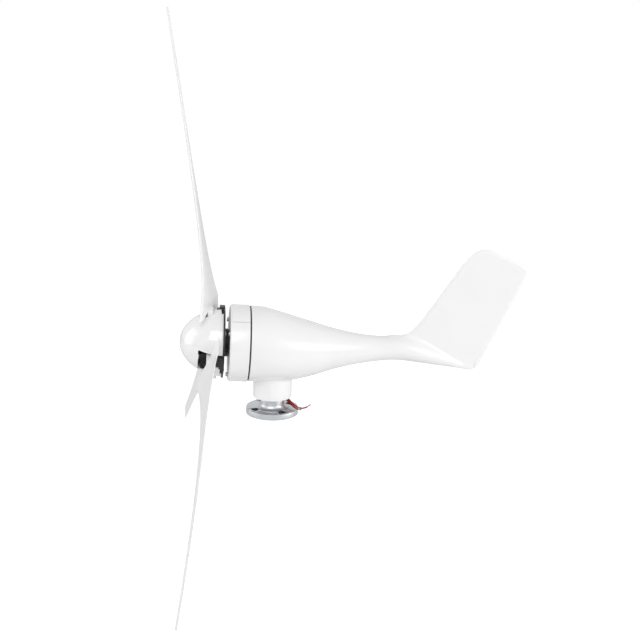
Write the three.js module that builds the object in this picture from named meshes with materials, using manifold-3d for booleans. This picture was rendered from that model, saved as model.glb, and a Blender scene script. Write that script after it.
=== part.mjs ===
// Small three-blade wind turbine: a die-cast body with boom and tail fin in one piece, a permanent magnet
// alternator behind a slotted nose cone, and a bolted mast flange that the body turns on.
// Millimetres, +Z up. The nose looks along -X and the tail along +X. The origin is the centre of the
// flange's underside, where the turbine stands on its mast.

import * as THREE from 'three';
import { mergeVertices } from 'three/addons/utils/BufferGeometryUtils.js';
import Module from 'manifold-3d';

const wasm = await Module();
wasm.setup();

// ---------------------------------------------------------------- driving dimensions

const GAP = 0.3;                 // room left between two pieces that touch or are pressed together
const DEG = Math.PI / 180;

const FLANGE_RADIUS = 45;
const FLANGE_THICKNESS = 10.5;
const FLANGE_HOLE_RADIUS = 6.2;
const FLANGE_HOLE_CIRCLE = 34;   // radius of the bolt circle
const FLANGE_HOLE_TURN = 25 * DEG;
const BOSS_RADIUS = 20.5;
const BOSS_FILLET = 8;
const BOSS_TOP = 27.2;
const PORT_HEIGHT = 21.5;        // where the leads leave the boss, on the far side (+Y)
const PORT_RADIUS = 5.4;

const NECK_RADIUS = 33.3;
const NECK_BOTTOM = 29.2;
const AXIS_HEIGHT = 123.5;       // rotor axis over the flange's underside, at the body's front face
const UPTILT = 2.2 * DEG;        // the rotor axis points slightly up towards the nose

const SPINDLE_RADIUS = 12.5;
const SPINDLE_BORE = 7.5;
const SPINDLE_BOTTOM = 14.8;
const SPINDLE_TOP = 112;

const SHELL_FRONT = -76;
const SHELL_REAR = -43.3;
const SHELL_RADIUS = 64.4;
const SHELL_INNER_RADIUS = 60.2;
const LAND_RAISE = 0.8;          // raised saddles on the shell's top and bottom
const LAND_HALF_ANGLE = 42.5 * DEG;
const BODY_FRONT = -40.8;
const BODY_TAIL = 350;

const PLATE_REAR = -84;
const PLATE_STEP = -86.8;
const PLATE_FRONT = -90;
const PLATE_RADIUS = 60;
const PLATE_SPIGOT = 54.6;

const NOSE_RIM = -87.1;
const NOSE_LENGTH = 71.1;
const NOSE_RADIUS = 57.8;
const NOSE_WALL = 2.5;
const SLOT_FRONT = -127;
const SLOT_LEADING = -22;        // the slot's sides, either side of the blade's axis
const SLOT_TRAILING = 20;

const BLADE_TIP = 536.5;         // rotor radius
const BLADE_AZIMUTHS = [-2.5 * DEG, 117.5 * DEG, 237.5 * DEG];
const BLADE_LEANS = [85, 36, 33];   // how far each long flexible tip stands forward of its root
const BLADE_BENDS = [1.07, 1.44, 1.44];   // 1 is a straight lean, more bends towards the tip
const BLADE_ROOT_X = -110.4;     // middle of the blade proper, at its root
const BLADE_BULGE = 75;          // radius where the tang ends and the blade proper starts
const BLADE_ARC = 59.8;          // the blade's wide root end is hollowed to this radius around the nose cone
const TANG_FRONT = -113;
const TANG_INNER = 27;
const TANG_OUTER = 57.6;         // flush with the nose cone
const TANG_LEADING = -21.3;      // the tang's sides, either side of the blade's axis
const TANG_TRAILING = 14;
const NECK_REAR = -105;          // behind this, the tang stops short of the blade proper
const NECK_OUTER = 62;
const CLAMP_THICKNESS = 9;
const CLAMP_SIZE = { leading: -19, trailing: 13, inner: 28, outer: 44 };
const BOLT_PLACES = [[-10, 33], [6, 41]];   // blade bolts, across and out from the rotor axis
const BOLT_SHANK = 3.1;
const BOLT_HOLE = 3.5;
const BOLT_END = -87.5;
const PAD_FRONT = -97.4;
const PAD_LUG = -93;             // behind this the pad stands out of the nose cone
const PAD_FLUSH = 56.6;
const PAD_LEADING = -4;
const PAD_TRAILING = 17;
const PAD_OUTER = 61.4;

const FRONT_BEARING = { bore: 8.8, outer: 20, width: 12, pitch: 14.4, ball: 3.2, balls: 7, at: -67 };
const REAR_BEARING = { bore: 7.8, outer: 17.5, width: 11, pitch: 12.65, ball: 2.9, balls: 7, at: -31.7 };
const YAW_LOWER = { bore: 12.8, outer: 26, width: 15, pitch: 19.4, ball: 3.9, balls: 7, at: 43.8 };
const YAW_UPPER = { ...YAW_LOWER, at: 71.8 };

const STATOR_OUTER = 51.8;
const STATOR_INNER = 38.4;
const STATOR_FRONT = -64;
const STATOR_REAR = -43;
const STATOR_SLOTS = 12;
const MAGNET_POLES = 8;

const LEAD_DIAMETER = 2.6;
const FIN_THICKNESS = 5;

// ---------------------------------------------------------------- finishes

const WHITE_PAINT = { color: 0xf0f0ef, roughness: 0.28, metalness: 0 };
const WHITE_NYLON = { color: 0xececeb, roughness: 0.38, metalness: 0 };
const BLACK_CAST = { color: 0x222326, roughness: 0.55, metalness: 0.2 };
const MACHINED = { color: 0xb9bcbf, roughness: 0.3, metalness: 1 };
const STEEL = { color: 0x8d9195, roughness: 0.35, metalness: 1 };
const LAMINATION = { color: 0x5c5f63, roughness: 0.5, metalness: 0.9 };
const COPPER = { color: 0xb4622f, roughness: 0.35, metalness: 1 };
const MAGNET = { color: 0x9da0a4, roughness: 0.25, metalness: 1 };
const RUBBER = { color: 0x1b1b1c, roughness: 0.8, metalness: 0 };
const CARBON = { color: 0x2b2b2d, roughness: 0.7, metalness: 0.1 };
const RED_SHEATH = { color: 0x9c1f22, roughness: 0.45, metalness: 0 };

// ---------------------------------------------------------------- solids

/** Signed volume of a triangle list, positive when its faces point outwards. */
function signedVolume(vertices, triangles) {
  const corner = (index) => new THREE.Vector3().fromArray(vertices, 3 * index);
  let sum = 0;
  for (let i = 0; i < triangles.length; i += 3) {
    const [a, b, c] = [corner(triangles[i]), corner(triangles[i + 1]), corner(triangles[i + 2])];
    sum += a.dot(b.cross(c)) / 6;
  }
  return sum;
}

/** Closed solid of a three.js geometry: shared corners merged, collapsed triangles dropped, faces out. */
function solid(geometry) {
  const bare = new THREE.BufferGeometry();
  bare.setAttribute('position', geometry.getAttribute('position').clone());
  bare.setIndex(geometry.index ? geometry.index.clone() : null);
  const merged = mergeVertices(bare, 1e-3);
  const vertices = merged.getAttribute('position').array;
  const all = merged.index.array;
  const triangles = [];
  for (let i = 0; i < all.length; i += 3) {
    const [a, b, c] = [all[i], all[i + 1], all[i + 2]];
    if (a !== b && b !== c && a !== c) triangles.push(a, b, c);
  }
  if (signedVolume(vertices, triangles) < 0) triangles.reverse();
  const mesh = new wasm.Mesh({
    numProp: 3,
    vertProperties: new Float32Array(vertices),
    triVerts: new Uint32Array(triangles),
  });
  return new wasm.Manifold(mesh);
}

/** Joins several solids into one. */
function joined(first, ...others) {
  return others.reduce((sum, other) => sum.add(other), first);
}

/** Cuts several solids out of one. */
function cut(first, ...others) {
  return others.reduce((rest, other) => rest.subtract(other), first);
}

/** Turned shape: profile points are [place along the axis, radius]. */
function turnedGeometry(axis, profile, segments = 24) {
  const points = profile.map(([along, radius]) => new THREE.Vector2(radius, along));
  const geometry = new THREE.LatheGeometry(points, segments);
  return axis === 'x' ? geometry.rotateZ(-Math.PI / 2) : geometry.rotateX(Math.PI / 2);
}

/** Solid of revolution; a profile that does not touch the axis is closed on itself. */
function turned(axis, profile, segments = 24) {
  const open = profile[0][1] > 0;
  const closed = open ? [...profile, profile[0]] : profile;
  return solid(turnedGeometry(axis, closed, segments));
}

/** Plain ring of rectangular section. */
function ring(axis, inner, outer, from, to, segments = 24) {
  return turned(axis, [[from, inner], [from, outer], [to, outer], [to, inner]], segments);
}

/** Geometry of a round or six-sided rod along one axis, between two places on it. */
function rodGeometry(axis, radius, from, to, segments = 16) {
  const geometry = new THREE.CylinderGeometry(radius, radius, to - from, segments);
  geometry.translate(0, (from + to) / 2, 0);
  if (axis === 'x') geometry.rotateZ(-Math.PI / 2);
  if (axis === 'z') geometry.rotateX(Math.PI / 2);
  return geometry;
}

/** Geometry of a block between two corners. */
function blockGeometry([x0, y0, z0], [x1, y1, z1]) {
  const geometry = new THREE.BoxGeometry(x1 - x0, y1 - y0, z1 - z0);
  return geometry.translate((x0 + x1) / 2, (y0 + y1) / 2, (z0 + z1) / 2);
}

/** Mesh of a finished solid, named and added to its group. */
function addPart(group, name, shape, finish) {
  const { vertProperties, triVerts } = shape.getMesh();
  const geometry = new THREE.BufferGeometry();
  geometry.setAttribute('position', new THREE.BufferAttribute(new Float32Array(vertProperties), 3));
  geometry.setIndex(new THREE.BufferAttribute(new Uint32Array(triVerts), 1));
  geometry.computeVertexNormals();
  const mesh = new THREE.Mesh(geometry, new THREE.MeshStandardMaterial(finish));
  mesh.name = name;
  group.add(mesh);
  return mesh;
}

/** Tips what is drawn around a level rotor axis up by the uptilt, about the body's front face. */
function uptiltFrame() {
  const shift = new THREE.Matrix4().makeTranslation(BODY_FRONT, 0, 0);
  const back = new THREE.Matrix4().makeTranslation(-BODY_FRONT, 0, 0);
  return shift.multiply(new THREE.Matrix4().makeRotationY(UPTILT)).multiply(back);
}

// ---------------------------------------------------------------- bearings

/** Groove of a race: points of an arc around the ball's centre, on the inner (-1) or outer (+1) side. */
function grooveArc(bearing, side) {
  const radius = bearing.ball + 2 * GAP;
  const reach = Math.acos((0.72 * bearing.ball) / radius);
  return [-1, 0, 1].map((part) => {
    const angle = part * reach;
    return [bearing.at + radius * Math.sin(angle), bearing.pitch + side * radius * Math.cos(angle)];
  });
}

function innerRing(axis, bearing) {
  const [from, to] = [bearing.at - bearing.width / 2, bearing.at + bearing.width / 2];
  const land = bearing.pitch - 0.72 * bearing.ball;
  const groove = grooveArc(bearing, -1);
  return turned(axis, [[from, bearing.bore], [from, land], ...groove, [to, land], [to, bearing.bore]], 18);
}

function outerRing(axis, bearing) {
  const [from, to] = [bearing.at - bearing.width / 2, bearing.at + bearing.width / 2];
  const land = bearing.pitch + 0.72 * bearing.ball;
  const groove = grooveArc(bearing, 1);
  return turned(axis, [[from, bearing.outer], [from, land], ...groove, [to, land], [to, bearing.outer]], 20);
}

/** Balls held in their cage, as one moving set. */
function ballSet(axis, bearing) {
  const cage = ring(axis, bearing.pitch - 0.9, bearing.pitch + 0.9, bearing.at - 1.8, bearing.at + 1.8, 14);
  const balls = [];
  for (let i = 0; i < bearing.balls; i += 1) {
    const angle = (2 * Math.PI * i) / bearing.balls;
    const [across, up] = [bearing.pitch * Math.cos(angle), bearing.pitch * Math.sin(angle)];
    const ball = new THREE.IcosahedronGeometry(bearing.ball);
    if (axis === 'x') ball.translate(bearing.at, across, up);
    else ball.translate(across, up, bearing.at);
    balls.push(solid(ball));
  }
  return joined(cage, ...balls);
}

// ---------------------------------------------------------------- mast stub

/** Port for the leads: a round hole from the spindle's bore out through the boss, towards +Y. */
function portHole() {
  const hole = rodGeometry('y', PORT_RADIUS, 0, 40, 16);
  return solid(hole.translate(0, 0, PORT_HEIGHT));
}

function mastFlange() {
  const fillet = [];
  for (let i = 0; i <= 4; i += 1) {
    const angle = (i / 4) * (Math.PI / 2);
    const along = FLANGE_THICKNESS + BOSS_FILLET * (1 - Math.cos(angle));
    fillet.push([along, BOSS_RADIUS + BOSS_FILLET * (1 - Math.sin(angle))]);
  }
  const profile = [
    [0, 0], [0, FLANGE_RADIUS - 0.8], [0.8, FLANGE_RADIUS],
    [FLANGE_THICKNESS - 0.8, FLANGE_RADIUS], [FLANGE_THICKNESS, FLANGE_RADIUS - 0.8],
    ...fillet, [BOSS_TOP, BOSS_RADIUS], [BOSS_TOP, 0],
  ];
  const body = turned('z', profile, 36);
  const socket = solid(rodGeometry('z', SPINDLE_RADIUS + GAP, SPINDLE_BOTTOM - GAP, BOSS_TOP + 1, 16));
  const holes = [];
  for (let i = 0; i < 4; i += 1) {
    const angle = FLANGE_HOLE_TURN + (i * Math.PI) / 2;
    const hole = rodGeometry('z', FLANGE_HOLE_RADIUS, -1, BOSS_TOP, 16);
    hole.translate(FLANGE_HOLE_CIRCLE * Math.cos(angle), FLANGE_HOLE_CIRCLE * Math.sin(angle), 0);
    holes.push(solid(hole));
  }
  return cut(body, socket, portHole(), ...holes);
}

/** Hollow steel spindle with the collar that the lower bearing rests on. */
function yawSpindle() {
  const collarTop = YAW_LOWER.at - YAW_LOWER.width / 2 - GAP;
  const body = turned('z', [
    [SPINDLE_BOTTOM, 0], [SPINDLE_BOTTOM, SPINDLE_RADIUS], [BOSS_TOP + GAP, SPINDLE_RADIUS],
    [BOSS_TOP + GAP, SPINDLE_RADIUS + 3.3], [collarTop, SPINDLE_RADIUS + 3.3],
    [collarTop, SPINDLE_RADIUS], [SPINDLE_TOP - 1, SPINDLE_RADIUS], [SPINDLE_TOP, SPINDLE_RADIUS - 1],
    [SPINDLE_TOP, 0],
  ]);
  const bore = solid(rodGeometry('z', SPINDLE_BORE, SPINDLE_BOTTOM + 1.5, SPINDLE_TOP + 1));
  return cut(body, bore, portHole());
}

function spindleNut() {
  const bottom = YAW_UPPER.at + YAW_UPPER.width / 2 + GAP;
  const body = solid(rodGeometry('z', 17, bottom, bottom + 5, 6));
  return cut(body, solid(rodGeometry('z', SPINDLE_RADIUS + GAP, bottom - 1, bottom + 6)));
}

/** Rubber grommet that fills the boss's port and stands a little proud of it; the leads start at its face. */
function leadGrommet() {
  const [inside, outside] = [SPINDLE_RADIUS + 1, BOSS_RADIUS + 2.5];
  const bush = rodGeometry('y', PORT_RADIUS - 2 * GAP, inside, outside, 16);
  const lip = rodGeometry('y', PORT_RADIUS + 1.2, BOSS_RADIUS + 1, outside, 16);
  return joined(solid(bush.translate(0, 0, PORT_HEIGHT)), solid(lip.translate(0, 0, PORT_HEIGHT)));
}

/** Insulating drum that carries the three slip rings. */
function slipRingDrum() {
  return ring('z', SPINDLE_RADIUS + GAP, 16, 86, 110, 20);
}

function slipRing(index) {
  const bottom = 88.4 + 7 * index;
  return ring('z', 16 + GAP, 18.6, bottom, bottom + 4.4, 20);
}

// Each lead comes straight out of the grommet towards +Y, swings round behind the boss and drops over the
// rim towards -Y. The first runs on and curls up; the other two are cut shorter.
const LEAD_ROUTES = [
  [
    [-1.8, 23.3, 21.5], [-1.8, 29.9, 21.5], [1.9, 38.4, 21.5], [10.8, 42, 21.2], [19.6, 38.3, 20.7],
    [24, 30.3, 20.3], [25.8, 22.1, 20], [28, 12.9, 20.2], [30.4, 3.6, 20], [33.9, -6.2, 18.4],
    [38.6, -15.4, 16.4], [43.7, -23.6, 15.2], [49.2, -30.6, 16.6], [54.8, -36.9, 20.4], [61.3, -42.8, 27],
  ],
  [
    [0.9, 23.3, 23.1], [0.9, 29.3, 23.1], [3.9, 36.3, 23.2], [10.9, 39, 22.9], [17.6, 36, 22.5],
    [21, 29.2, 22.1], [22.8, 21.4, 21.8], [25, 12.1, 22], [27.4, 2.5, 21.8], [31.2, -7.7, 20.2],
    [36, -17.2, 18.2], [41.1, -25.4, 17], [46.2, -32.3, 18.5],
  ],
  [
    [0.9, 23.3, 19.9], [0.9, 29.3, 19.9], [3.8, 36.3, 19.8], [10.7, 39, 19.5], [17.4, 36.1, 18.9],
    [21, 29.3, 18.5], [22.8, 21.4, 18.2], [25, 12.1, 18.4], [27.3, 2.8, 18.2], [30.9, -7.1, 16.6],
    [35.7, -16.7, 14.6], [41.1, -25.4, 13.4], [47.1, -32.5, 14.3],
  ],
];

function lead(index) {
  const route = new THREE.CatmullRomCurve3(LEAD_ROUTES[index].map((point) => new THREE.Vector3(...point)));
  const section = new THREE.Shape();
  section.absarc(0, 0, LEAD_DIAMETER / 2, 0, 2 * Math.PI);
  return solid(new THREE.ExtrudeGeometry(section, { steps: 20, curveSegments: 4, extrudePath: route }));
}

// ---------------------------------------------------------------- nacelle, which turns on the mast stub

/** Alternator's front shell: a cup with the front bearing's seat and two raised saddles outside. */
function frontShell() {
  const wall = SHELL_FRONT + 4.5;
  const seatEnd = FRONT_BEARING.at + FRONT_BEARING.width / 2;
  const seat = FRONT_BEARING.outer + GAP;
  const cup = turned('x', [
    [SHELL_FRONT, 15], [SHELL_FRONT, SHELL_RADIUS - 3], [SHELL_FRONT + 0.9, SHELL_RADIUS - 0.9],
    [SHELL_FRONT + 3, SHELL_RADIUS], [SHELL_REAR, SHELL_RADIUS], [SHELL_REAR, SHELL_INNER_RADIUS],
    [wall, SHELL_INNER_RADIUS], [wall, seat + 5], [seatEnd, seat + 4], [seatEnd, seat],
    [SHELL_FRONT + 2.6, seat], [SHELL_FRONT + 2.6, 15],
  ], 36);
  const saddles = [0, 1].map((index) => {
    const band = ring('x', SHELL_RADIUS - 1, SHELL_RADIUS + LAND_RAISE, SHELL_FRONT + 3, SHELL_REAR, 36);
    const [across, up] = [100 * Math.sin(LAND_HALF_ANGLE), 100 * Math.cos(LAND_HALF_ANGLE)];
    const wedge = new THREE.Shape();
    wedge.moveTo(0, 0);
    wedge.lineTo(-across, up);
    wedge.lineTo(0, 140);
    wedge.lineTo(across, up);
    const sector = new THREE.ExtrudeGeometry(wedge, { depth: 80 });
    sector.rotateZ(index * Math.PI).rotateX(Math.PI / 2).rotateZ(Math.PI / 2).translate(-100, 0, 0);
    return band.intersect(solid(sector));
  });
  const holes = shellBoltPlaces().map(([y, z]) => (
    solid(rodGeometry('x', 2.6, SHELL_FRONT - 1, SHELL_FRONT + 8, 8).translate(0, y, z))
  ));
  return cut(joined(cup, ...saddles), ...holes);
}

/** Places of the bolts that hold the front shell to the body, around the rotor axis. */
function shellBoltPlaces() {
  return [60, 180, 300].map((degrees) => {
    const angle = degrees * DEG;
    return [56.2 * Math.sin(angle), 56.2 * Math.cos(angle)];
  });
}

function shellBolt([y, z]) {
  const head = rodGeometry('x', 3.8, SHELL_FRONT - GAP - 2.4, SHELL_FRONT - GAP, 10);
  const shank = rodGeometry('x', 2.1, SHELL_FRONT - 1, BODY_FRONT + 5.5, 8);
  return joined(solid(head.translate(0, y, z)), solid(shank.translate(0, y, z)));
}

/** Rubber gasket between the front shell and the body, a little below their outer faces. */
function shellGasket() {
  const body = ring('x', 53.4, 63.5, SHELL_REAR + GAP, BODY_FRONT - GAP, 36);
  const holes = shellBoltPlaces().map(([y, z]) => (
    solid(rodGeometry('x', 2.6, SHELL_REAR - 1, BODY_FRONT + 1, 8).translate(0, y, z))
  ));
  return cut(body, ...holes);
}

// The body's outline in the rotor-axis plane: place along X, top and bottom from the rotor axis.
const BODY_OUTLINE = [
  [BODY_FRONT - 4, 64.5, -64.1], [-15, 61.8, -65], [14, 53.5, -65], [42, 44.8, -61], [70, 36, -54.8],
  [97, 27.6, -46.6], [125, 20.4, -39.8], [153, 15, -34.8], [184, 11.8, -31], [215, 11.4, -29.8],
  [247, 4.5, -33], [282, -13.5, -37.6], [325, -34.5, -45], [BODY_TAIL, -45.5, -49.5],
];

/** Round body that thins to the boom and runs out along the foot of the fin. */
function bodyLoft() {
  const outline = new THREE.CatmullRomCurve3(BODY_OUTLINE.map((point) => new THREE.Vector3(...point)));
  const circle = new THREE.Shape();
  circle.absarc(0, 0, 1, 0, 2 * Math.PI);
  const geometry = new THREE.ExtrudeGeometry(circle, {
    depth: 1, steps: 18, curveSegments: 15, bevelEnabled: false,
  });
  const places = geometry.getAttribute('position');
  for (let i = 0; i < places.count; i += 1) {
    const { x: along, y: top, z: bottom } = outline.getPoint(places.getZ(i));
    const half = (top - bottom) / 2;
    const narrowing = THREE.MathUtils.smoothstep(along, 215, BODY_TAIL);
    const width = half * (1 - 0.2 * narrowing);
    const [across, up] = [places.getX(i) * width, (top + bottom) / 2 + places.getY(i) * half];
    places.setXYZ(i, along, across, up);
  }
  return solid(geometry);
}

/** Flat swept fin, rounded at its corners, rising out of the boom. */
function tailFin() {
  const outline = new THREE.Shape();
  outline.moveTo(190, 0);
  outline.lineTo(205, 11);
  outline.bezierCurveTo(236, 11, 242, 24, 254, 37.5);
  outline.lineTo(318, 132);
  outline.bezierCurveTo(334, 157, 351, 169, 372, 163);
  outline.lineTo(426, 139.5);
  outline.quadraticCurveTo(441, 132, 436, 116.5);
  outline.lineTo(363, -38);
  outline.quadraticCurveTo(358, -48.5, 346, -48.5);
  outline.lineTo(330, -46);
  outline.lineTo(190, -20);
  const plate = new THREE.ExtrudeGeometry(outline, {
    depth: FIN_THICKNESS, curveSegments: 6, bevelEnabled: false,
  });
  plate.rotateX(Math.PI / 2).translate(0, FIN_THICKNESS / 2, 0);
  return solid(plate);
}

/** Hollow of the body: open at the front for the alternator, wide over the yaw spindle. */
function bodyHollow() {
  const plateSeat = REAR_BEARING.at + 0.8;   // the rear bearing plate stops here
  const bore = solid(turnedGeometry('x', [
    [BODY_FRONT - 1, 0], [BODY_FRONT - 1, STATOR_OUTER + 0.6], [plateSeat, STATOR_OUTER + 0.6],
    [plateSeat, 46], [plateSeat + 6, 46], [plateSeat + 6, 0],
  ]).applyMatrix4(uptiltFrame()));
  const chamber = turnedGeometry('x', [
    [plateSeat + 3, 0], [plateSeat + 3, 46], [-18, 54], [8, 52], [34, 45], [60, 37], [80, 26], [86, 0],
  ], 22);
  return joined(bore, solid(chamber.translate(0, 0, -4)));
}

/** One casting: body, boom, fin and the neck that holds both yaw bearings. */
function nacelleBody() {
  const neckTop = YAW_UPPER.at + YAW_UPPER.width / 2;
  const toAxis = (height) => height - AXIS_HEIGHT;
  const neck = turned('z', [
    [toAxis(NECK_BOTTOM), 0], [toAxis(NECK_BOTTOM), NECK_RADIUS - 2],
    [toAxis(NECK_BOTTOM) + 0.6, NECK_RADIUS - 0.6], [toAxis(NECK_BOTTOM) + 2, NECK_RADIUS],
    [-52, NECK_RADIUS], [-52, 0],
  ], 36);
  const tower = solid(rodGeometry('z', 30.5, -66, toAxis(neckTop), 24));
  const seat = YAW_LOWER.outer + GAP + 0.1;
  const lowerTop = toAxis(YAW_LOWER.at + YAW_LOWER.width / 2) + GAP;
  const upperBottom = toAxis(YAW_UPPER.at - YAW_UPPER.width / 2) - GAP;
  const neckBore = turned('z', [
    [toAxis(NECK_BOTTOM) - 1, 0], [toAxis(NECK_BOTTOM) - 1, seat], [lowerTop, seat], [lowerTop, 23.5],
    [upperBottom, 23.5], [upperBottom, seat], [toAxis(neckTop) + 1, seat], [toAxis(neckTop) + 1, 0],
  ], 24);
  const groove = ring('z', 20, seat + 1.4, circlipFloor() - GAP - AXIS_HEIGHT,
    circlipFloor() + 1.6 + GAP - AXIS_HEIGHT, 24);
  const threads = shellBoltPlaces().map(([y, z]) => {
    const thread = rodGeometry('x', 2.5, BODY_FRONT - 1, BODY_FRONT + 6, 8).translate(0, y, z);
    return solid(thread.applyMatrix4(uptiltFrame()));
  });
  const ahead = blockGeometry([BODY_FRONT - 20, -80, -80], [BODY_FRONT, 80, 80]).applyMatrix4(uptiltFrame());
  const shell = cut(joined(bodyLoft(), tailFin(), neck), solid(ahead), bodyHollow());
  return cut(joined(shell, tower), neckBore, groove, ...threads);
}

/** Underside of the circlip that holds the lower yaw bearing in the neck. */
function circlipFloor() {
  return YAW_LOWER.at - YAW_LOWER.width / 2 - GAP - 1.9;
}

function yawCirclip() {
  const body = ring('z', 22.6, YAW_LOWER.outer + GAP + 1, circlipFloor(), circlipFloor() + 1.6, 24);
  return cut(body, solid(blockGeometry([15, -3, circlipFloor() - 1], [35, 3, circlipFloor() + 3])));
}

/** Stator slots as radial blocks, widened or narrowed by an allowance. */
function statorSlots(allowance, front, rear) {
  const slots = [];
  for (let i = 0; i < STATOR_SLOTS; i += 1) {
    const slot = blockGeometry([front, -4.2 - allowance, STATOR_INNER + 1.6 - allowance],
      [rear, 4.2 + allowance, 46 + allowance]);
    slots.push(solid(slot.rotateX((2 * Math.PI * i) / STATOR_SLOTS)));
  }
  return slots;
}

function statorCore() {
  const body = ring('x', STATOR_INNER, STATOR_OUTER, STATOR_FRONT, STATOR_REAR, 24);
  return cut(body, ...statorSlots(0, STATOR_FRONT - 1, STATOR_REAR + 1));
}

/** Copper winding: a rounded head at each end of the core, joined by the coils in its slots. */
function statorWinding() {
  const head = (from, to) => turned('x', [
    [from, 42], [from, 48], [to, 50], [to, 40.4],
  ], 24);
  const front = head(STATOR_FRONT - 7, STATOR_FRONT - GAP);
  const rear = head(STATOR_REAR + 7, STATOR_REAR + GAP);
  return joined(front, rear, ...statorSlots(-GAP, STATOR_FRONT - 2, STATOR_REAR + 2));
}

/** Plate behind the stator with the rear bearing's seat. */
function rearBearingPlate() {
  const [from, to] = [REAR_BEARING.at - 3.8, REAR_BEARING.at + 0.5];
  const seat = REAR_BEARING.outer + GAP;
  const [bossFrom, bossTo] = [REAR_BEARING.at - 5.5, REAR_BEARING.at + 7.5];
  const body = turned('x', [
    [bossFrom, seat], [bossFrom, seat + 4], [from, seat + 5], [from, STATOR_OUTER + 0.3],
    [to, STATOR_OUTER + 0.3], [to, seat + 5], [bossTo, seat + 4], [bossTo, 10],
    [bossTo - 1.6, 10], [bossTo - 1.6, seat],
  ], 24);
  const vents = [];
  for (let i = 0; i < 4; i += 1) {
    const vent = rodGeometry('x', 6, from - 1, to + 1, 10).translate(0, 0, 37);
    vents.push(solid(vent.rotateX((Math.PI * (i + 0.5)) / 2)));
  }
  return cut(body, ...vents);
}

const BRUSH_HEIGHTS = [90.6, 97.6, 104.6];

/** Bracket on the neck's inner tower that guides the three brushes. */
function brushHolder() {
  const foot = solid(blockGeometry([26.6, -12, 79.7], [38, 12, 84]));
  const post = solid(blockGeometry([24.6, -8, 82], [36, 8, 110]));
  const guides = BRUSH_HEIGHTS.map((height) => (
    solid(blockGeometry([20, -4 - GAP, height - 2 - GAP], [34.4, 4 + GAP, height + 2 + GAP]))
  ));
  return cut(joined(foot, post), ...guides);
}

/** Carbon brush, its inner face hollowed to sit on its slip ring. */
function brush(height) {
  const body = solid(blockGeometry([16, -4, height - 2], [32, 4, height + 2]));
  return cut(body, solid(rodGeometry('z', 18.6 + GAP, height - 4, height + 4, 32)));
}

// ---------------------------------------------------------------- rotor, which spins in the nacelle

const bladeChord = (radius) => 26 + 64 * Math.exp(-(radius - 80) / 165);
const pastBulge = (radius) => Math.max(0, radius - BLADE_BULGE);
const bladeThickness = (radius) => 3 + 6 * Math.exp(-pastBulge(radius) / 200);
const bladeSweep = (radius) => (
  4 * Math.exp(-pastBulge(radius) / 60) - 9 * Math.sin((Math.PI * radius) / BLADE_TIP)
);

/** Pitch: a slow twist over the whole blade and a quick one at its root. */
function bladePitch(radius) {
  return (1 + 14 * Math.exp(-pastBulge(radius) / 148) + 3 * Math.exp(-pastBulge(radius) / 25)) * DEG;
}

/** Aerofoil of unit chord and unit thickness, leading edge at -Y. */
function bladeSection() {
  const half = (f) => {
    const rise = 0.2969 * Math.sqrt(f) - 0.126 * f - 0.3516 * f * f + 0.2843 * f ** 3 - 0.1015 * f ** 4;
    return Math.max(5 * rise, f > 0.5 ? 0.1 : 0);
  };
  const places = [0.02, 0.1, 0.3, 0.6, 1];
  const front = places.map((f) => new THREE.Vector2(-half(f), f - 0.5));
  const back = places.map((f) => new THREE.Vector2(half(f), f - 0.5)).reverse();
  return new THREE.Shape([new THREE.Vector2(0, -0.5), ...front, ...back]);
}

/** Tang in the slot of the nose cone: a block stepped around the hub's pad, with a neck to the blade. */
function bladeTang() {
  const block = (rear, trailing, outer) => (
    solid(blockGeometry([TANG_FRONT, TANG_LEADING, TANG_INNER], [rear, trailing, outer]))
  );
  const onPad = block(PAD_FRONT - GAP, TANG_TRAILING, NECK_OUTER);
  const besidePad = block(PLATE_FRONT - GAP, PAD_LEADING - GAP, NECK_OUTER);
  const flush = solid(rodGeometry('x', TANG_OUTER, TANG_FRONT - 1, PLATE_REAR, 48));
  const neckSpace = solid(rodGeometry('x', NECK_OUTER, TANG_FRONT - 1, NECK_REAR, 48));
  return joined(onPad, besidePad).intersect(flush.add(neckSpace));
}

/** Holes along the rotor axis at the places of a blade's bolts. */
function boltHoles(from, to) {
  return BOLT_PLACES.map(([y, z]) => solid(rodGeometry('x', BOLT_HOLE, from, to, 8).translate(0, y, z)));
}

/** Twisted, tapered blade that leans forward, with its tang for the hub. */
function blade(lean, bend) {
  const root = 44;
  const geometry = new THREE.ExtrudeGeometry(bladeSection(), { depth: 1, steps: 14, bevelEnabled: false });
  const places = geometry.getAttribute('position');
  for (let i = 0; i < places.count; i += 1) {
    const radius = root + (BLADE_TIP - root) * places.getZ(i);
    const pitch = bladePitch(radius);
    const [x, y] = [places.getX(i) * bladeThickness(radius), places.getY(i) * bladeChord(radius)];
    const forward = lean * (pastBulge(radius) / pastBulge(BLADE_TIP)) ** bend;
    const along = BLADE_ROOT_X - forward + x * Math.cos(pitch) + y * Math.sin(pitch);
    const across = bladeSweep(radius) - x * Math.sin(pitch) + y * Math.cos(pitch);
    places.setXYZ(i, along, across, radius);
  }
  const wide = cut(solid(geometry), solid(rodGeometry('x', BLADE_ARC, -200, 0, 48)));
  return cut(joined(wide, bladeTang()), ...boltHoles(-130, -80));
}

/** Thick black plate that spreads the blade bolts' load over the tang. */
function bladeClamp() {
  const back = TANG_FRONT - GAP;
  const { leading, trailing, inner, outer } = CLAMP_SIZE;
  const plate = blockGeometry([back - CLAMP_THICKNESS, leading, inner], [back, trailing, outer]);
  return cut(solid(plate), ...boltHoles(-130, -80));
}

/** Hexagon bolt through clamp and tang into the hub. */
function bladeBolt([y, z]) {
  const seat = TANG_FRONT - 2 * GAP - CLAMP_THICKNESS;
  const head = rodGeometry('x', 5.4, seat - 3.6, seat, 6).translate(0, y, z);
  const shank = rodGeometry('x', BOLT_SHANK, seat - 1, BOLT_END, 8).translate(0, y, z);
  return joined(solid(head), solid(shank));
}

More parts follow.
